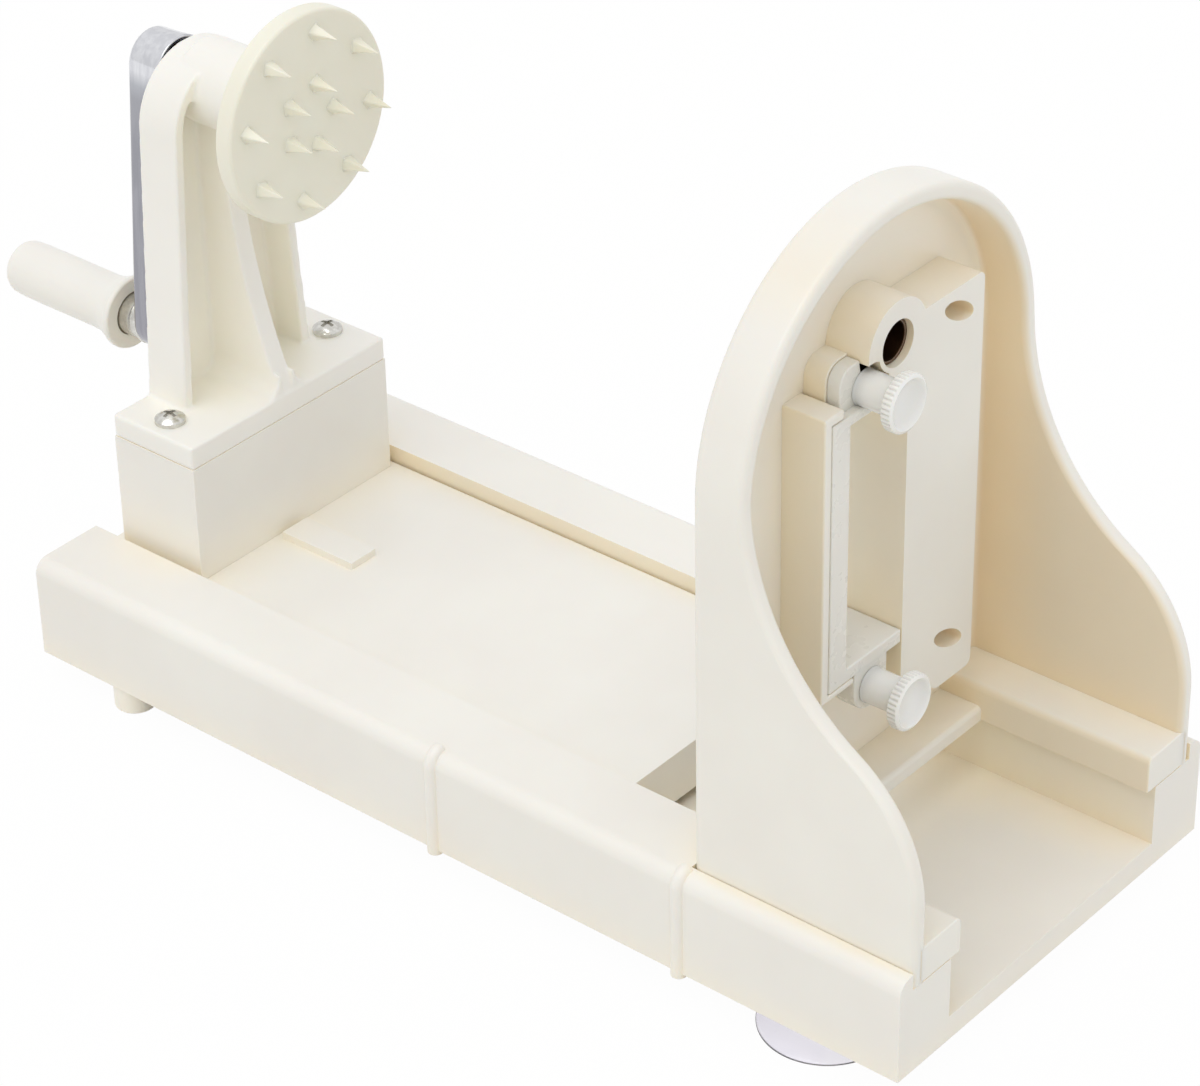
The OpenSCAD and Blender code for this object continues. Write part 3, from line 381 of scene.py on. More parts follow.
def bridge(p, q):
    """Faces between two rings of points, where either may be a single point."""
    n = max(len(p), len(q))
    faces = []
    for i in range(n):
        j = (i + 1) % n
        if len(p) == len(q) > 1:
            faces.append([p[i], p[j], q[j], q[i]])
        elif len(q) > 1:
            faces.append([p[0], q[j], q[i]])
        elif len(p) > 1:
            faces.append([p[i], p[j], q[0]])
    return faces


def cut(ob, other, how="DIFFERENCE"):
    """Boolean with another object, which is used up."""
    mod = ob.modifiers.new("cut", "BOOLEAN")
    mod.operation = how
    mod.object = other
    mod.solver = "EXACT"
    apply_modifiers(ob)
    bpy.data.objects.remove(other)
    return ob


def clean(ob, angle=1.0):
    """Merge doubled points and flat neighbours."""
    bm = bmesh.new()
    bm.from_mesh(ob.data)
    bmesh.ops.remove_doubles(bm, verts=bm.verts[:], dist=0.000005)
    bmesh.ops.dissolve_limit(bm, angle_limit=math.radians(angle), verts=bm.verts[:],
                             edges=bm.edges[:], use_dissolve_boundaries=False)
    bm.to_mesh(ob.data)
    bm.free()


def soften(ob, width, segments=3, angle=28):
    """Round the sharp edges and shade the result smooth."""
    ob.data.shade_smooth()
    if width:
        mod = ob.modifiers.new("bevel", "BEVEL")
        mod.width = width * MM
        mod.segments = segments
        mod.limit_method = "ANGLE"
        mod.angle_limit = math.radians(angle)
        mod.use_clamp_overlap = True
    even_normals(ob)


def even_normals(ob):
    """Let the large faces lead the shading, then apply what is on the object."""
    mod = ob.modifiers.new("normals", "WEIGHTED_NORMAL")
    mod.keep_sharp = True
    mod.weight = 50
    apply_modifiers(ob)


def finish(ob, material, body, slot, *nodes, sharp=None):
    ob.data.materials.clear()
    ob.data.materials.append(material)
    if sharp:
        ob.data.shade_smooth()
        ob.data.set_sharp_from_angle(angle=math.radians(sharp))
        even_normals(ob)
    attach(ob, body)
    if nodes:
        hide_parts(*nodes)
    return ob


def join(name, parts):
    """One object from several, in order."""
    bm = bmesh.new()
    for p in parts:
        bm.from_mesh(p.data)
    me = bpy.data.meshes.new(name)
    bm.to_mesh(me)
    bm.free()
    for p in parts:
        bpy.data.objects.remove(p)
    ob = bpy.data.objects.new(name, me)
    bpy.context.scene.collection.objects.link(ob)
    me.shade_smooth()
    return ob


def dressed(node, name, width, segments=3, angle=28):
    """A softened copy of a CAD node."""
    ob = bpy.data.objects.new(name, frame["nodes"][node].data.copy())
    bpy.context.scene.collection.objects.link(ob)
    ob.data.materials.clear()
    clean(ob)
    soften(ob, width, segments, angle)
    return ob


def remeshed(ob, voxel, rounds):
    """A closed piece rebuilt on a fine grid with its edges and creases rounded."""
    ob.data.materials.clear()
    mod = ob.modifiers.new("grid", "REMESH")
    mod.mode = "VOXEL"
    mod.voxel_size = voxel * MM
    mod.use_smooth_shade = True
    mod = ob.modifiers.new("round", "SMOOTH")
    mod.factor = 0.5
    mod.iterations = rounds
    apply_modifiers(ob)
    return ob


def prism(name, outline, x0, x1, axis="x"):
    """An outline drawn out along X (given in Y, Z), along Y (X, Z) or along Z (X, Y)."""
    n = len(outline)
    turn = {"x": lambda a, b, t: (t, a, b), "y": lambda a, b, t: (a, t, b),
            "z": lambda a, b, t: (a, b, t)}[axis]
    verts = [turn(a, b, t) for t in (x0, x1) for a, b in outline]
    faces = [list(range(n)), list(range(n, 2 * n))]
    faces += [[i, (i + 1) % n, n + (i + 1) % n, n + i] for i in range(n)]
    return obj_from(name, verts, faces)


def circle(cy, cz, r, n=64, start=0.0, end=360.0):
    full = abs(end - start) > 359.9
    count = n if full else n + 1
    out = []
    for i in range(count):
        a = math.radians(start + (end - start) * i / n)
        out.append((cy + r * math.cos(a), cz + r * math.sin(a)))
    return out


def rod(name, x0, x1, r, y, z, n=64):
    return prism(name, circle(y, z, r, n), x0, x1)


def fillet_path(points, n=5):
    """A path with rounded corners. Each point is (a, b, radius)."""
    out = []
    m = len(points)
    for i, (a, b, r) in enumerate(points):
        p, q = Vector(points[i - 1][:2]), Vector(points[(i + 1) % m][:2])
        c = Vector((a, b))
        if not r:
            out.append((a, b))
            continue
        u, v = (p - c).normalized(), (q - c).normalized()
        half = math.acos(max(-1, min(1, u.dot(v)))) / 2
        back = r / math.tan(half)
        s, e = c + u * back, c + v * back
        mid = c + (u + v).normalized() * (r / math.sin(half))
        a0 = math.atan2(*(s - mid).yx)
        a1 = math.atan2(*(e - mid).yx)
        while a1 - a0 > math.pi:
            a1 -= 2 * math.pi
        while a1 - a0 < -math.pi:
            a1 += 2 * math.pi
        for k in range(n + 1):
            t = a0 + (a1 - a0) * k / n
            out.append((mid.x + r * math.cos(t), mid.y + r * math.sin(t)))
    return out


def lathe(name, profile, y, z, n=96, ripple=None):
    """A profile of (x, radius) turned round an axis along X. Radii of zero close the ends."""
    verts, rings = [], []
    for x, r in profile:
        if r <= 0:
            rings.append([len(verts)])
            verts.append((x, y, z))
            continue
        ring = []
        for i in range(n):
            a = 2 * math.pi * i / n
            rr = r + (ripple(x, r, a) if ripple else 0)
            ring.append(len(verts))
            verts.append((x, y + rr * math.cos(a), z + rr * math.sin(a)))
        rings.append(ring)
    faces = [f for p, q in zip(rings, rings[1:]) for f in bridge(p, q)]
    ob = obj_from(name, verts, faces)
    if profile[0] == profile[-1]:
        bm = bmesh.new()
        bm.from_mesh(ob.data)
        bmesh.ops.remove_doubles(bm, verts=bm.verts[:], dist=0.000002)
        bm.to_mesh(ob.data)
        bm.free()
        fix_normals(ob)
    return ob


def swing(ob):
    """Turn a crank piece from hanging straight down to where the crank stands."""
    at = place((0, 0, AXIS_Z))
    turn = Matrix.Translation(at) @ Matrix.Rotation(SWING, 4, "X") @ Matrix.Translation(-at)
    ob.data.transform(turn)
    return ob


# Base
base = dressed("base_frame", "base_moulding", 0.7)
finish(base, IVORY_BASE, "base", "ivory_base", "base_frame")
feet = dressed("feet", "round_feet", 0.9)
finish(feet, IVORY, "base", "ivory_base", "feet")
for n in ("foot_screws", "hood_screws"):
    finish(dressed(n, n + "_dressed", 0.3, 2), STEEL, "base", "screw_steel", n)
finish(dressed("block_screws", "block_screws_dressed", 0.3, 2), STEEL, "carriage", "screw_steel",
       "block_screws")
finish(dressed("holder_inserts", "inserts_dressed", 0.2, 2), BRASS, "base", "brass", "holder_inserts")


def spline(points, steps=5):
    """A smooth line through points."""
    pts = [Vector(p) for p in points]
    out = []
    for i in range(len(pts) - 1):
        p0, p1, p2 = pts[max(i - 1, 0)], pts[i], pts[i + 1]
        p3 = pts[min(i + 2, len(pts) - 1)]
        for k in range(steps):
            t = k / steps
            out.append(0.5 * ((2 * p1) + (p2 - p0) * t + (2 * p0 - 5 * p1 + 4 * p2 - p3) * t * t
                              + (3 * p1 - p0 - 3 * p2 + p3) * t ** 3))
    out.append(pts[-1])
    return [tuple(p) for p in out]


def cup(name, side):
    """A clear suction cup under one side."""
    low, high = box_mm("suction_cups")
    r = (high[0] - low[0]) / 2
    cx = (low[0] + high[0]) / 2
    cy = side * (high[1] - r)
    z = low[2]
    skin = 1.5
    top = high[2]
    inner = spline([(0.0, z + 4.6), (r * 0.33, z + 4.1), (r * 0.7, z + 1.9), (r - 1.2, z + 0.15)])
    rim = [(r - 0.5, z), (r - 0.05, z + 0.3), (r, z + 0.8), (r - 0.5, z + 1.2)]
    outer = spline([(r - 1.2, z + 1.5), (r * 0.75, z + 2 * skin), (r * 0.5, z + 3.3 * skin),
                    (r * 0.38, z + 4.6 * skin), (7.0, -0.1)])
    stem = [(4.5, -0.1), (4.5, 3.1), (5.9, 3.1), (6.0, 3.6), (5.4, top - 0.1), (4.0, top), (0.0, top)]
    prof = inner + rim + outer + stem
    n = 96
    verts, rings = [], []
    for rr, zz in prof:
        if rr <= 0:
            rings.append([len(verts)])
            verts.append((cx, cy, zz))
            continue
        rings.append(list(range(len(verts), len(verts) + n)))
        verts += [(cx + rr * math.cos(2 * math.pi * i / n), cy + rr * math.sin(2 * math.pi * i / n), zz)
                  for i in range(n)]
    return obj_from(name, verts, [f for p, q in zip(rings, rings[1:]) for f in bridge(p, q)])


cups = join("clear_cups", [cup("cup_near", -1), cup("cup_far", 1)])
finish(cups, CLEAR, "base", "clear_cup", "suction_cups", sharp=50)

# Carriage
finish(dressed("carriage_plate", "carriage_tray", 0.6), IVORY, "carriage", "ivory_carriage",
       "carriage_plate")
finish(dressed("headstock_block", "carriage_box", 1.2), IVORY, "carriage", "ivory_carriage",
       "headstock_block")


def post():
    """The post with every edge rounded and every crease filled a little, and a boss that swells forward."""
    low = POST[0][0]
    shoulder = lathe("swell", [(low + 5, 4.2), (low + 5, 11.0)] + spline([
        (low + 6, 11.05), (low + 9, 11.9), (low + 13, 13.6), (low + 18, 13.98)], 4) + [(low + 18, 4.2),
        (low + 5, 4.2)], 0, AXIS_Z)
    body = bpy.data.objects.new("cad_post", frame["nodes"]["headstock_post"].data.copy())
    bpy.context.scene.collection.objects.link(body)
    ob = join("carriage_post", [body, shoulder])
    return remeshed(ob, 0.55, 9)


finish(post(), IVORY_POST, "carriage", "ivory_carriage", "headstock_post")
finish(dressed("post_screws", "post_screws_dressed", 0.2, 2), NICKEL, "carriage", "screw_nickel",
       "post_screws")
for n in ("rear_bush", "front_bush"):
    finish(dressed(n, n + "_dressed", 0.3, 2), STEEL, "carriage", "bush_steel", n)

# Crank
finish(dressed("crank_shaft", "shaft_dressed", 0.3, 2), STEEL, "crank", "shaft_steel", "crank_shaft")
finish(dressed("arm_spacer", "spacer_dressed", 0.3, 2), STEEL, "crank", "shaft_steel", "arm_spacer")
finish(dressed("handle_pin", "pin_dressed", 0.3, 2), STEEL, "crank", "shaft_steel", "handle_pin")
finish(dressed("arm_nut", "nut_dressed", 0.4, 3), NICKEL, "crank", "screw_nickel", "arm_nut")


ARM_LIFT = 3.5


def slot_ring(x, r, n=24):
    """The long arm's outline at one depth."""
    top, foot = AXIS_Z, AXIS_Z - CRANK_R + ARM_LIFT
    out = [(x, p[0], p[1]) for p in circle(0, top, r, n, 0, 180)]
    out += [(x, p[0], p[1]) for p in circle(0, foot, r, n, 180, 360)]
    return out


def crank_arm():
    """A pressed channel with rounded shoulders whose walls flare towards the rim."""
    x0, x1 = ARM[0][0], ARM[1][0]
    r = (ARM[1][2] - AXIS_Z) - 0.7
    flare, t, edge = 0.7, 1.4, 2.2
    rings = [(x0, r - edge - 1.0)]
    for k in range(7):
        a = math.pi / 2 * k / 6
        rings.append((x0 + edge - edge * math.cos(a), r - edge + edge * math.sin(a)))
    rings += [(x0 + (x1 - x0) * s, r + flare * s * s) for s in (0.35, 0.6, 0.85)]
    rings += [(x1 - 0.3, r + flare), (x1, r + flare - 0.35), (x1, r + flare - t + 0.35),
              (x1 - 0.3, r + flare - t)]
    rings += [(x0 + (x1 - x0) * s, r + flare * s * s - t) for s in (0.85, 0.6, 0.35)]
    rings += [(x0 + t + 0.5, r - t - 0.2), (x0 + t, r - t - 1.0)]
    verts, loops = [], []
    for x, rr in rings:
        ring = slot_ring(x, rr)
        loops.append(range(len(verts), len(verts) + len(ring)))
        verts += ring
    faces = [f for p, q in zip(loops, loops[1:]) for f in bridge(p, q)]
    faces += [list(loops[0]), list(loops[-1])]
    return swing(obj_from("crank_channel", verts, faces))


finish(crank_arm(), CHROME, "crank", "arm_chrome", "crank_arm", sharp=60)

hub_r = (HUB[1][2] - HUB[0][2]) / 2
hub = lathe("handle_collar_hub", [
    (HUB[0][0], 3.1), (HUB[0][0], hub_r - 0.6), (HUB[0][0] + 0.6, hub_r),
    (HUB[1][0] - 5.2, hub_r), (HUB[1][0] - 4.9, hub_r - 0.5), (HUB[1][0] - 4.4, hub_r - 0.5),
    (HUB[1][0] - 4.1, hub_r), (HUB[1][0] - 1.6, hub_r), (HUB[1][0] - 1.1, hub_r + 0.5),
    (HUB[1][0] - 0.3, hub_r + 0.5), (HUB[1][0], hub_r + 0.3), (HUB[1][0], 3.1), (HUB[0][0], 3.1)],
    PIN_Y, PIN_Z)
finish(hub, NICKEL, "crank", "arm_chrome", "handle_hub", sharp=40)


def grip():
    """The turned grip: domed end, slim barrel, flared collar with a flat face round the hub."""
    x0, x1 = GRIP[0][0], GRIP[1][0]
    rc = (GRIP[1][2] - GRIP[0][2]) / 2
    rg = 9.5
    prof = [(x0, 0.0), (x0, rg - 4.2)]
    for k in range(1, 9):
        a = math.pi / 2 * k / 8
        prof.append((x0 + 4 - 4 * math.cos(a), rg - 4.2 + 4.0 * math.sin(a)))
    prof += spline([(x0 + 8, rg), (x0 + 20, rg + 0.05), (x1 - 20, rg), (x1 - 12, rg + 0.05),
                    (x1 - 8, rg + 0.55), (x1 - 5, rg + 1.6), (x1 - 3.2, rc - 0.75),
                    (x1 - 2.3, rc - 0.2)], 4)
    prof += [(x1 - 1.7, rc), (x1 - 0.8, rc), (x1 - 0.25, rc - 0.25), (x1, rc - 0.8), (x1, hub_r + 0.7),
             (x1 - 0.12, hub_r + 0.42), (x1 - 0.4, hub_r + 0.3), (x1 - 5, hub_r + 0.3), (x1 - 5, 4.05),
             (x0 + 5.9, 4.05), (x0 + 5.9, 0.0)]
    return lathe("crank_grip", prof, PIN_Y, PIN_Z, 128)


finish(grip(), IVORY, "grip", "ivory_grip", "handle_grip", sharp=50)


# Spiked disc
def spike(cy, cz, turn, root, height, x):
    """A four sided spike with softly swept sides, its foot sunk in the disc."""
    rings = [(x - 0.6, root + 0.5), (x, root + 0.25), (x + 0.5, root * 0.9), (x + height * 0.45, root * 0.5),
             (x + height * 0.85, root * 0.17), (x + height, 0.12)]
    verts = []
    for xx, rr in rings:
        for k in range(4):
            for off in (-9, 9):
                a = math.radians(turn + 90 * k + off)
                verts.append((xx, cy + rr * math.cos(a), cz + rr * math.sin(a)))
    faces = []
    for i in range(len(rings) - 1):
        for k in range(8):
            a, b = 8 * i + k, 8 * i + (k + 1) % 8
            faces.append([a, b, b + 8, a + 8])
    faces += [list(range(8)), list(range(8 * (len(rings) - 1), 8 * len(rings)))]
    return obj_from("spike", verts, faces)


def spiked_disc():
    """The disc with rounded edges and two rings of spikes."""
    x0 = DISC[0][0]
    r = (DISC[1][1] - DISC[0][1]) / 2
    tip = DISC[1][0]
    x1 = x0 + 6.8
    prof = [(x0 + 5.5, 0.0), (x0 + 5.5, 4.05), (x0, 4.05), (x0, r - 1.2)]
    for k in range(1, 6):
        a = math.pi / 2 * k / 5
        prof.append((x0 + 1.2 - 1.2 * math.cos(a), r - 1.2 + 1.2 * math.sin(a)))
    for k in range(6):
        a = math.pi / 2 * k / 5
        prof.append((x1 - 1.2 + 1.2 * math.sin(a), r - 1.2 + 1.2 * math.cos(a)))
    prof += [(x1, r - 3), (x1, 0.0)]
    parts = [lathe("disc", prof, 0, AXIS_Z, 128)]
    for ring_r, count, turn in ((27.3, 8, -10), (10.6, 5, -2)):
        for i in range(count):
            a = turn + 360 / count * i
            ca, sa = math.cos(math.radians(a)), math.sin(math.radians(a))
            parts.append(spike(ring_r * ca, AXIS_Z + ring_r * sa, a, 2.7, tip - x1, x1))
    return join("toothed_disc", parts)


finish(spiked_disc(), IVORY_DISC, "crank", "ivory_disc", "spiked_disc", sharp=35)


# Hood
HOOD_X = BASE_X1 - 78.8
PLATE_X = HOOD_X + 3.0
SEAT_Z = HOOD[0][2]
RIM_X = HOOD_X + 17.5
LOW_R = 47.5
LOW_X = BASE_X1 - LOW_R
LOW_Z = SEAT_Z + 25.8
HIGH_Z = ARCH_Z + 6.7
RISE = HIGH_Z - LOW_Z
RUN = LOW_X - RIM_X
HIGH_R = (RISE ** 2 + RUN ** 2 - LOW_R ** 2) / (2 * (LOW_R + RUN))
HIGH_X = RIM_X + HIGH_R
MEET_Z = LOW_Z + RISE * LOW_R / (LOW_R + HIGH_R)
WALL = 5.6


def rim_x(z):
    """Where the hood's side edge lies at a height."""
    if z <= LOW_Z:
        return BASE_X1
    if z <= MEET_Z:
        return LOW_X + math.sqrt(max(LOW_R ** 2 - (z - LOW_Z) ** 2, 0))
    if z <= HIGH_Z:
        return HIGH_X - math.sqrt(max(HIGH_R ** 2 - (z - HIGH_Z) ** 2, 0))
    return RIM_X


def hood_path():
    """Stations round the arch from the near foot to the far one: place and inward direction."""
    steps = 60
    side = [SEAT_Z + (ARCH_Z - SEAT_Z) * k / steps for k in range(steps + 1)]
    out = []
    for z in side:
        y = FOOT_W - (FOOT_W - ARCH_R) * (z - SEAT_Z) / (ARCH_Z - SEAT_Z)
        out.append(((-y, z), (1.0, 0.0)))
    for k in range(1, 96):
        a = math.pi - math.pi * k / 96
        out.append(((ARCH_R * math.cos(a), ARCH_Z + ARCH_R * math.sin(a)), (-math.cos(a), -math.sin(a))))
    for z in reversed(side):
        y = FOOT_W - (FOOT_W - ARCH_R) * (z - SEAT_Z) / (ARCH_Z - SEAT_Z)
        out.append(((y, z), (-1.0, 0.0)))
    return out


INSET = WALL + 4.0


def hood_section(xr):
    """The shell cut across its wall: X and depth inward from the outer face."""
    re, rf, ri = 2.2, 3.0, 1.8
    pts = [(PLATE_X, INSET)]
    for k in range(1, 7):
        a = math.pi / 2 * k / 6
        pts.append((PLATE_X + ri - ri * math.cos(a), WALL + ri - ri * math.sin(a)))
    for s in (0.25, 0.5, 0.75):
        pts.append((PLATE_X + ri + (xr - re - PLATE_X - ri) * s, WALL))
    for k in range(6):
        a = math.pi / 2 * k / 5
        pts.append((xr - re + re * math.sin(a), WALL - re + re * math.cos(a)))
    for k in range(6):
        a = math.pi / 2 * k / 5
        pts.append((xr - re + re * math.cos(a), re - re * math.sin(a)))
    for s in (0.25, 0.5, 0.75):
        pts.append((xr - re - (xr - re - HOOD_X - rf) * s, 0.0))
    for k in range(7):
        a = math.pi / 2 * k / 6
        pts.append((HOOD_X + rf - rf * math.sin(a), rf - rf * math.cos(a)))
    pts.append((HOOD_X, INSET))
    return pts


def hood_shell():
    """The wall and rim swept round the arch, and the flat plate inside it."""
    verts, loops = [], []
    for (y, z), (ny, nz) in hood_path():
        ring = []
        for x, d in hood_section(rim_x(z)):
            ring.append(len(verts))
            verts.append((x, y + ny * d, z + nz * d))
        loops.append(ring)
    faces = [f for p, q in zip(loops, loops[1:]) for f in bridge(p, q)]
    faces += [loops[0], loops[-1]]
    shell = obj_from("hood_shell", verts, faces)
    inner = [(y + ny * INSET, z + nz * INSET) for (y, z), (ny, nz) in hood_path()]
    plate = prism("hood_plate", inner, HOOD_X, PLATE_X)
    return shell, plate


WIN_Y0, WIN_Y1 = -21.1, 5.5
WIN_Z1 = AXIS_Z - 16.8
WIN_Z0 = WIN_Z1 - 81.2
POCKET = (-29.6, WIN_Y1, WIN_Z0 - 4.95, WIN_Z1 + 3.8)
PAD_X = HOLDER[0][0] - 0.1
UPPER = ((box_mm("upper_knob")[0][1] + box_mm("upper_knob")[1][1]) / 2,
         (box_mm("upper_knob")[0][2] + box_mm("upper_knob")[1][2]) / 2)
LOWER = ((box_mm("lower_knob")[0][1] + box_mm("lower_knob")[1][1]) / 2,
         (box_mm("lower_knob")[0][2] + box_mm("lower_knob")[1][2]) / 2)
TAB_R = 7.8
TAB_X = FRONT_X - 7.4
GAP = 0.35
LOBE_R = 13.6


def rect(y0, y1, z0, z1):
    return [(y0, z0), (y1, z0), (y1, z1), (y0, z1)]


def oval(cy, cz, length, width, tilt):
    """A slightly pointed oval."""
    c, k = math.cos(math.radians(tilt)), math.sin(math.radians(tilt))
    out = []
    for i in range(48):
        t = 2 * math.pi * i / 48
        a, b = length / 2 * math.cos(t), width / 2 * math.sin(t)
        out.append((cy + a * c - b * k, cz + a * k + b * c))
    return out


def hood():
    """The arched shell with its plate, inner block, ledge, boss, rear body, flanges and sill."""
    shell, plate = hood_shell()
    cut(plate, prism("c", rect(POCKET[0] - 1, POCKET[1] + 1, POCKET[2] - 1, POCKET[3] + 1), HOOD_X - 5,
                     PLATE_X + 5))
    cut(plate, rod("c", HOOD_X - 5, PLATE_X + 5, 9.0, 0, AXIS_Z))
    soften(shell, 0)
    clean(plate)
    soften(plate, 0)
    foot_z = WIN_Z0 - 31.1
    block = prism("block", fillet_path([
        (WIN_Y1, foot_z + 12.8, 1.5), (23.7, foot_z, 2.5), (41.1, foot_z, 2.5), (41.1, AXIS_Z + 5.3, 2.5),
        (WIN_Y1, AXIS_Z + 5.3, 0)]), PAD_X, FRONT_X)
    cut(block, rod("lobe", PAD_X, FRONT_X, LOBE_R, 0, AXIS_Z, 96), "UNION")
    cut(block, prism("c", rect(-40, WIN_Y1, WIN_Z0, POCKET[3]), PAD_X - 1, FRONT_X + 1))
    tab_hole = rod("c", TAB_X, FRONT_X + 1, TAB_R + GAP, UPPER[0], UPPER[1])
    cut(tab_hole, rod("d", TAB_X - 1, FRONT_X + 2, 8.75, 0, AXIS_Z))
    cut(block, tab_hole)
    cut(block, rod("c", PAD_X - 1, FRONT_X + 1, 7.25, 0, AXIS_Z, 96))
    for cz in (AXIS_Z - 2.6, WIN_Z0 - 15.8):
        cut(block, prism("c", oval(29, cz, 15.4, 6.0, -26), FRONT_X - 8, FRONT_X + 1))
    clean(block)
    soften(block, 0.9, 4)
    cap_z = POCKET[3] + 3.1
    notch_y = LOWER[0] - TAB_R - GAP
    ledge = prism("ledge", [
        (-33, POCKET[2] - 2), (notch_y, POCKET[2] - 2), (notch_y, POCKET[2]),
        (POCKET[0], POCKET[2]), (POCKET[0], POCKET[3]), (-24.2, POCKET[3]), (-24.2, cap_z), (-33, cap_z)],
        PAD_X, FRONT_X)
    soften(ledge, 0.7, 3)
    boss = rod("boss", PLATE_X - 1, TAB_X - 0.1, TAB_R, *LOWER)
    cut(boss, prism("c", rect(POCKET[0], POCKET[1], POCKET[2], WIN_Z1), PAD_X, FRONT_X))
    soften(boss, 0.5, 3)
    top_z = UPPER[1] + 9.7
    rear = prism("rear_body", fillet_path([
        (-23.5, POCKET[3] - 0.2, 0), (0, POCKET[3] - 0.2, 0), (0, top_z, 0), (-23.5, top_z, 6)], 12),
        PLATE_X - 1, TAB_X)
    cut(rear, rod("c", PLATE_X - 2, FRONT_X + 1, 7.4, 0, AXIS_Z, 96))
    clean(rear)
    soften(rear, 0.8, 3)
    flanges = []
    for side in (-1, 1):
        top, outer = SEAT_Z + 12.3, FOOT_W - 2.4
        out = fillet_path([(47.3, SEAT_Z, 0.6), (outer, SEAT_Z, 0.6), (outer, top, 0.8), (47.3, top, 2.2)])
        f = prism("flange", [(side * a, b) for a, b in out], PLATE_X - 1, BASE_X1)
        soften(f, 0.9, 3)
        flanges.append(f)
    sill = prism("sill", fillet_path([
        (PLATE_X - 1, SEAT_Z, 0), (PLATE_X + 15.6, SEAT_Z, 0.4), (PLATE_X + 15.6, SEAT_Z + 5.3, 1.6),
        (PLATE_X - 1, SEAT_Z + 5.3, 0)]), -48, 48, "y")
    soften(sill, 0)
    return join("hood_moulding", [shell, plate, block, ledge, sill, boss, rear] + flanges)


finish(hood(), IVORY_IN, "base", "ivory_hood", "hood", sharp=40)

core_r = (CORE[1][2] - CORE[0][2]) / 2
core = lathe("core_cutter", [
    (CORE[0][0], core_r - 1.25), (CORE[1][0] - 0.3, core_r - 1.3), (CORE[1][0], core_r - 1.05),
    (CORE[1][0], core_r - 0.25), (CORE[1][0] - 0.3, core_r), (CORE[0][0] + 2, core_r),
    (CORE[0][0], core_r - 1.25)], 0, AXIS_Z)
finish(core, CUTTER, "base", "blade_steel", "core_ring", sharp=40)


# Blade unit
def holder():
    """The frame that fills the pocket round the window, with its two tabs for the knobs."""
    y0, y1, z0, z1 = POCKET[0] + GAP, POCKET[1] - GAP, POCKET[2] + GAP, POCKET[3] - GAP
    body = prism("holder", [
        (y0, z0), (y1, z0), (y1, WIN_Z0), (WIN_Y0, WIN_Z0),
        (WIN_Y0, WIN_Z1), (y1, WIN_Z1), (y1, z1), (y0, z1)], HOLDER[0][0], FRONT_X)
    soften(body, 0.6, 3)
    seat = box_mm("upper_knob")[0][0] - 0.1
    tab_foot, tab_top = WIN_Z1 + 0.2, UPPER[1] + 9.2
    upper = prism("tab", fillet_path([
        (-23.0, tab_foot, 0), (-4.0, tab_foot, 0), (-4.0, tab_top, 0), (-23.0, tab_top, 5.5)], 12),
        TAB_X + 0.1, seat)
    cut(upper, rod("c", TAB_X - 1, seat + 1, LOBE_R + GAP, 0, AXIS_Z, 96))
    clean(upper)
    soften(upper, 0.6, 3)
    lower = prism("tab2", circle(LOWER[0], LOWER[1], TAB_R, 32, 180, 360)
                  + [(LOWER[0] + TAB_R, z0 + 0.7), (LOWER[0] - TAB_R, z0 + 0.7)],
                  TAB_X + 0.1, FRONT_X - 0.05)
    soften(lower, 0.6, 3)
    return join("blade_frame", [body, upper, lower])


finish(holder(), COOL, "blade_unit", "holder_white", "blade_holder", sharp=40)
finish(dressed("main_blade", "blade_dressed", 0.1, 1), BLADE, "blade_unit", "blade_steel", "main_blade")
finish(dressed("blade_screws", "blade_screws_dressed", 0.2, 2), NICKEL, "blade_unit", "screw_steel",
       "blade_screws")


def knob(name, node, at):
    """A knurled knob: slim neck, head with ridges, dished face."""
    low, high = box_mm(node)
    x0, x1 = low[0], high[0]
    r = (high[2] - low[2]) / 2
    head = x1 - 3.9
    neck = 5.5
    stud_r = 2.05
    prof = [(x0, stud_r), (x0, neck + 0.2), (x0 + 0.5, neck + 0.2), (x0 + 1.0, neck)]
    prof += [(head - 1.2, neck), (head - 0.4, neck + 0.25), (head, neck + 1.0), (head, r - 0.7),
             (head + 0.35, r - 0.1), (head + 0.6, r), (head + 1.6, r), (x1 - 0.9, r), (x1 - 0.55, r - 0.2),
             (x1 - 0.2, r - 0.75), (x1, r - 1.15), (x1 - 0.15, r - 1.5), (x1 - 0.9, r - 2.1),
             (x1 - 1.7, r - 3.0), (x1 - 2.3, r - 4.3), (x1 - 2.65, r - 6.0), (x1 - 2.75, 0.0)]
    ridges = 36

    def ripple(x, rr, a):
        if rr < r - 0.3 or x < head + 0.3 or x > x1 - 0.8:
            return 0.0
        return -0.42 * (0.5 + 0.5 * math.cos(a * ridges)) ** 2
    body = [(head - 1.0, 0.0), (head - 1.0, stud_r)] + prof
    return lathe(name, body, at[0], at[1], ridges * 8, ripple)


finish(knob("knob_upper", "upper_knob", UPPER), KNOB, "upper_knob", "knob_white", "upper_knob", sharp=45)
finish(knob("knob_lower", "lower_knob", LOWER), KNOB, "lower_knob", "knob_white", "lower_knob", sharp=45)
finish(dressed("upper_stud", "stud_upper", 0.2, 2), STEEL, "upper_knob", "screw_steel", "upper_stud")
finish(dressed("lower_stud", "stud_lower", 0.2, 2), STEEL, "lower_knob", "screw_steel", "lower_stud")


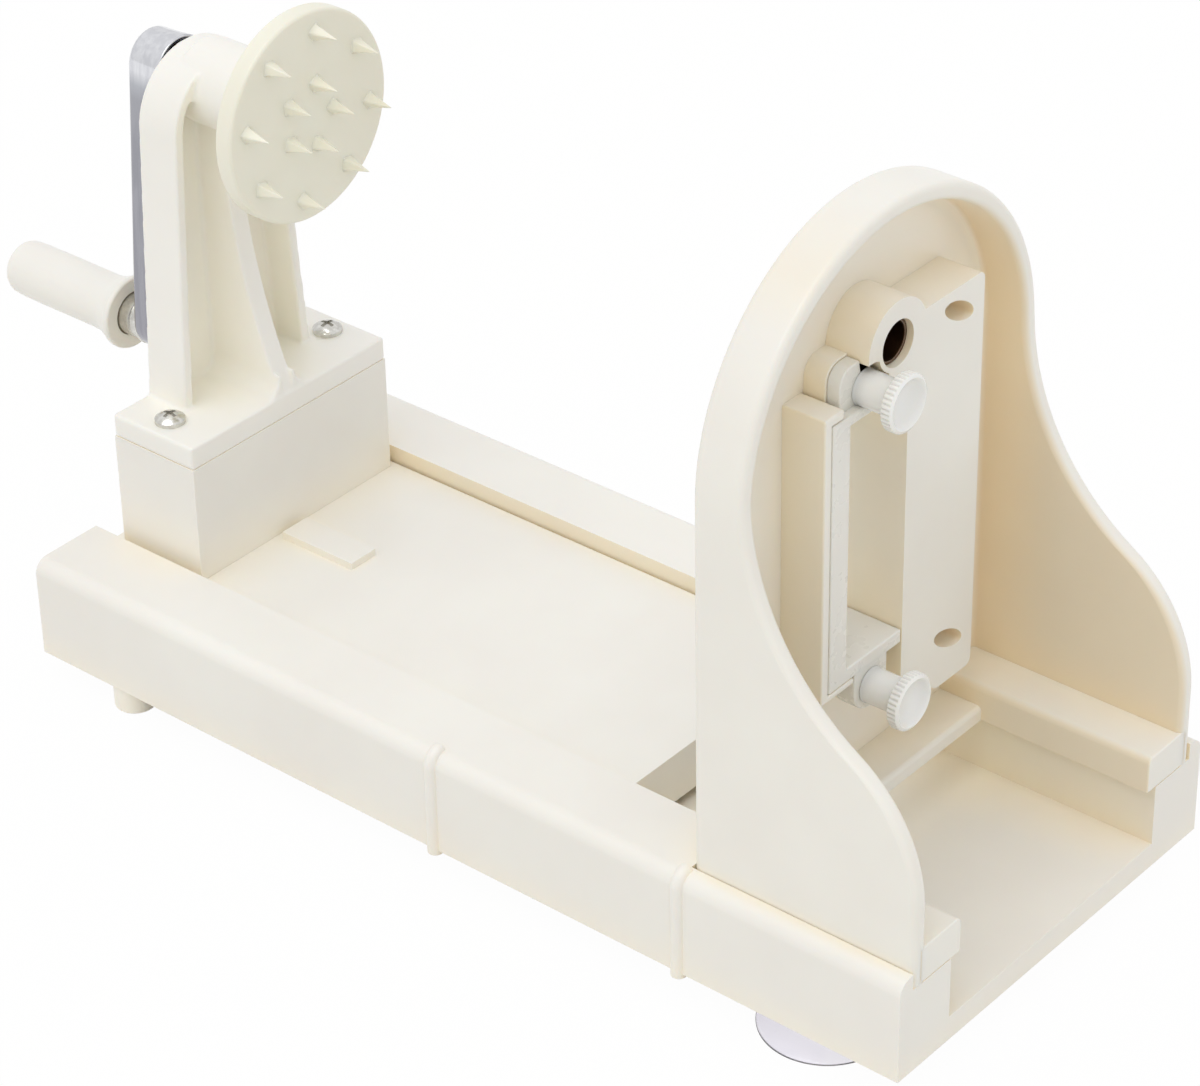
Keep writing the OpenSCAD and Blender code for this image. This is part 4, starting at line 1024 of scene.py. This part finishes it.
# Floor, light and camera
def floor():
    """A pale table top that keeps the shadow and otherwise reads as the white ground."""
    m, nt, b = new_material("pale_floor")
    b.inputs["Base Color"].default_value = (0.81, 0.80, 0.765, 1.0)
    b.inputs["Roughness"].default_value = 0.9
    out = nt.nodes["Material Output"]
    path = nt.nodes.new("ShaderNodeLightPath")
    seen = maths(nt, "MAXIMUM", path.outputs["Is Camera Ray"], path.outputs["Is Glossy Ray"])
    seen = maths(nt, "MAXIMUM", seen, path.outputs["Is Transmission Ray"])
    glow = nt.nodes.new("ShaderNodeEmission")
    glow.inputs["Strength"].default_value = 1.0
    mix = nt.nodes.new("ShaderNodeMixShader")
    nt.links.new(maths(nt, "MULTIPLY", seen, 0.975), mix.inputs["Fac"])
    nt.links.new(b.outputs["BSDF"], mix.inputs[1])
    nt.links.new(glow.outputs["Emission"], mix.inputs[2])
    nt.links.new(mix.outputs["Shader"], out.inputs["Surface"])
    me = bpy.data.meshes.new("floor")
    half = 6.0
    corners = [(-half, -half, 0), (half, -half, 0), (half, half, 0), (-half, half, 0)]
    me.from_pydata(corners, [], [(0, 1, 2, 3)])
    ob = bpy.data.objects.new("floor", me)
    bpy.context.scene.collection.objects.link(ob)
    me.materials.append(m)


def world():
    """A white studio, white where it is seen and a little dimmer towards the horizon as a light."""
    w = bpy.data.worlds.new("studio")
    bpy.context.scene.world = w
    w.use_nodes = True
    nt = w.node_tree
    bg = nt.nodes["Background"]
    bg.inputs["Color"].default_value = (1.0, 1.0, 1.0, 1.0)
    path = nt.nodes.new("ShaderNodeLightPath")
    seen = maths(nt, "MAXIMUM", path.outputs["Is Camera Ray"], path.outputs["Is Transmission Ray"])
    co = nt.nodes.new("ShaderNodeTexCoord")
    sky = span(nt, axes_of(nt, co.outputs["Generated"])["Z"], 0.0, 0.9, 0.82, 0.97)
    level = nt.nodes.new("ShaderNodeMapRange")
    level.inputs["To Max"].default_value = 1.0
    nt.links.new(sky, level.inputs["To Min"])
    nt.links.new(seen, level.inputs["Value"])
    nt.links.new(level.outputs["Result"], bg.inputs["Strength"])


def sun(name, towards, strength, angle):
    """A wide soft sun that shines along a direction."""
    lamp = bpy.data.lights.new(name, "SUN")
    lamp.energy = strength
    lamp.angle = math.radians(angle)
    ob = bpy.data.objects.new(name, lamp)
    bpy.context.scene.collection.objects.link(ob)
    ob.rotation_euler = Vector(towards).to_track_quat("-Z", "Y").to_euler()


def camera():
    """The camera fitted to the photograph's straight edges, with its height, turn and roll."""
    az, el, roll = (math.radians(v) for v in (40.448, 32.861, -1.139))
    back = Vector((math.sin(az) * math.cos(el), -math.cos(az) * math.cos(el), math.sin(el)))
    right = Vector((0, 0, 1)).cross(back).normalized()
    up = back.cross(right)
    r = right * math.cos(roll) + up * math.sin(roll)
    u = -right * math.sin(roll) + up * math.cos(roll)
    at = place((854.2, -797.3, 750.4))
    cam = bpy.data.cameras.new("camera")
    cam.sensor_fit = "HORIZONTAL"
    cam.sensor_width = 36.0
    cam.lens = 4084.014 / 1200 * 36.0
    cam.clip_start = 0.05
    ob = bpy.data.objects.new("camera", cam)
    m = Matrix((r, u, back)).transposed().to_4x4()
    m.translation = at
    ob.matrix_world = m
    bpy.context.scene.collection.objects.link(ob)
    bpy.context.scene.camera = ob


floor()
world()
sun("key", (0.0, 0.42, -1.0), 0.78, 50)
camera()
bpy.context.scene.view_settings.view_transform = "Standard"
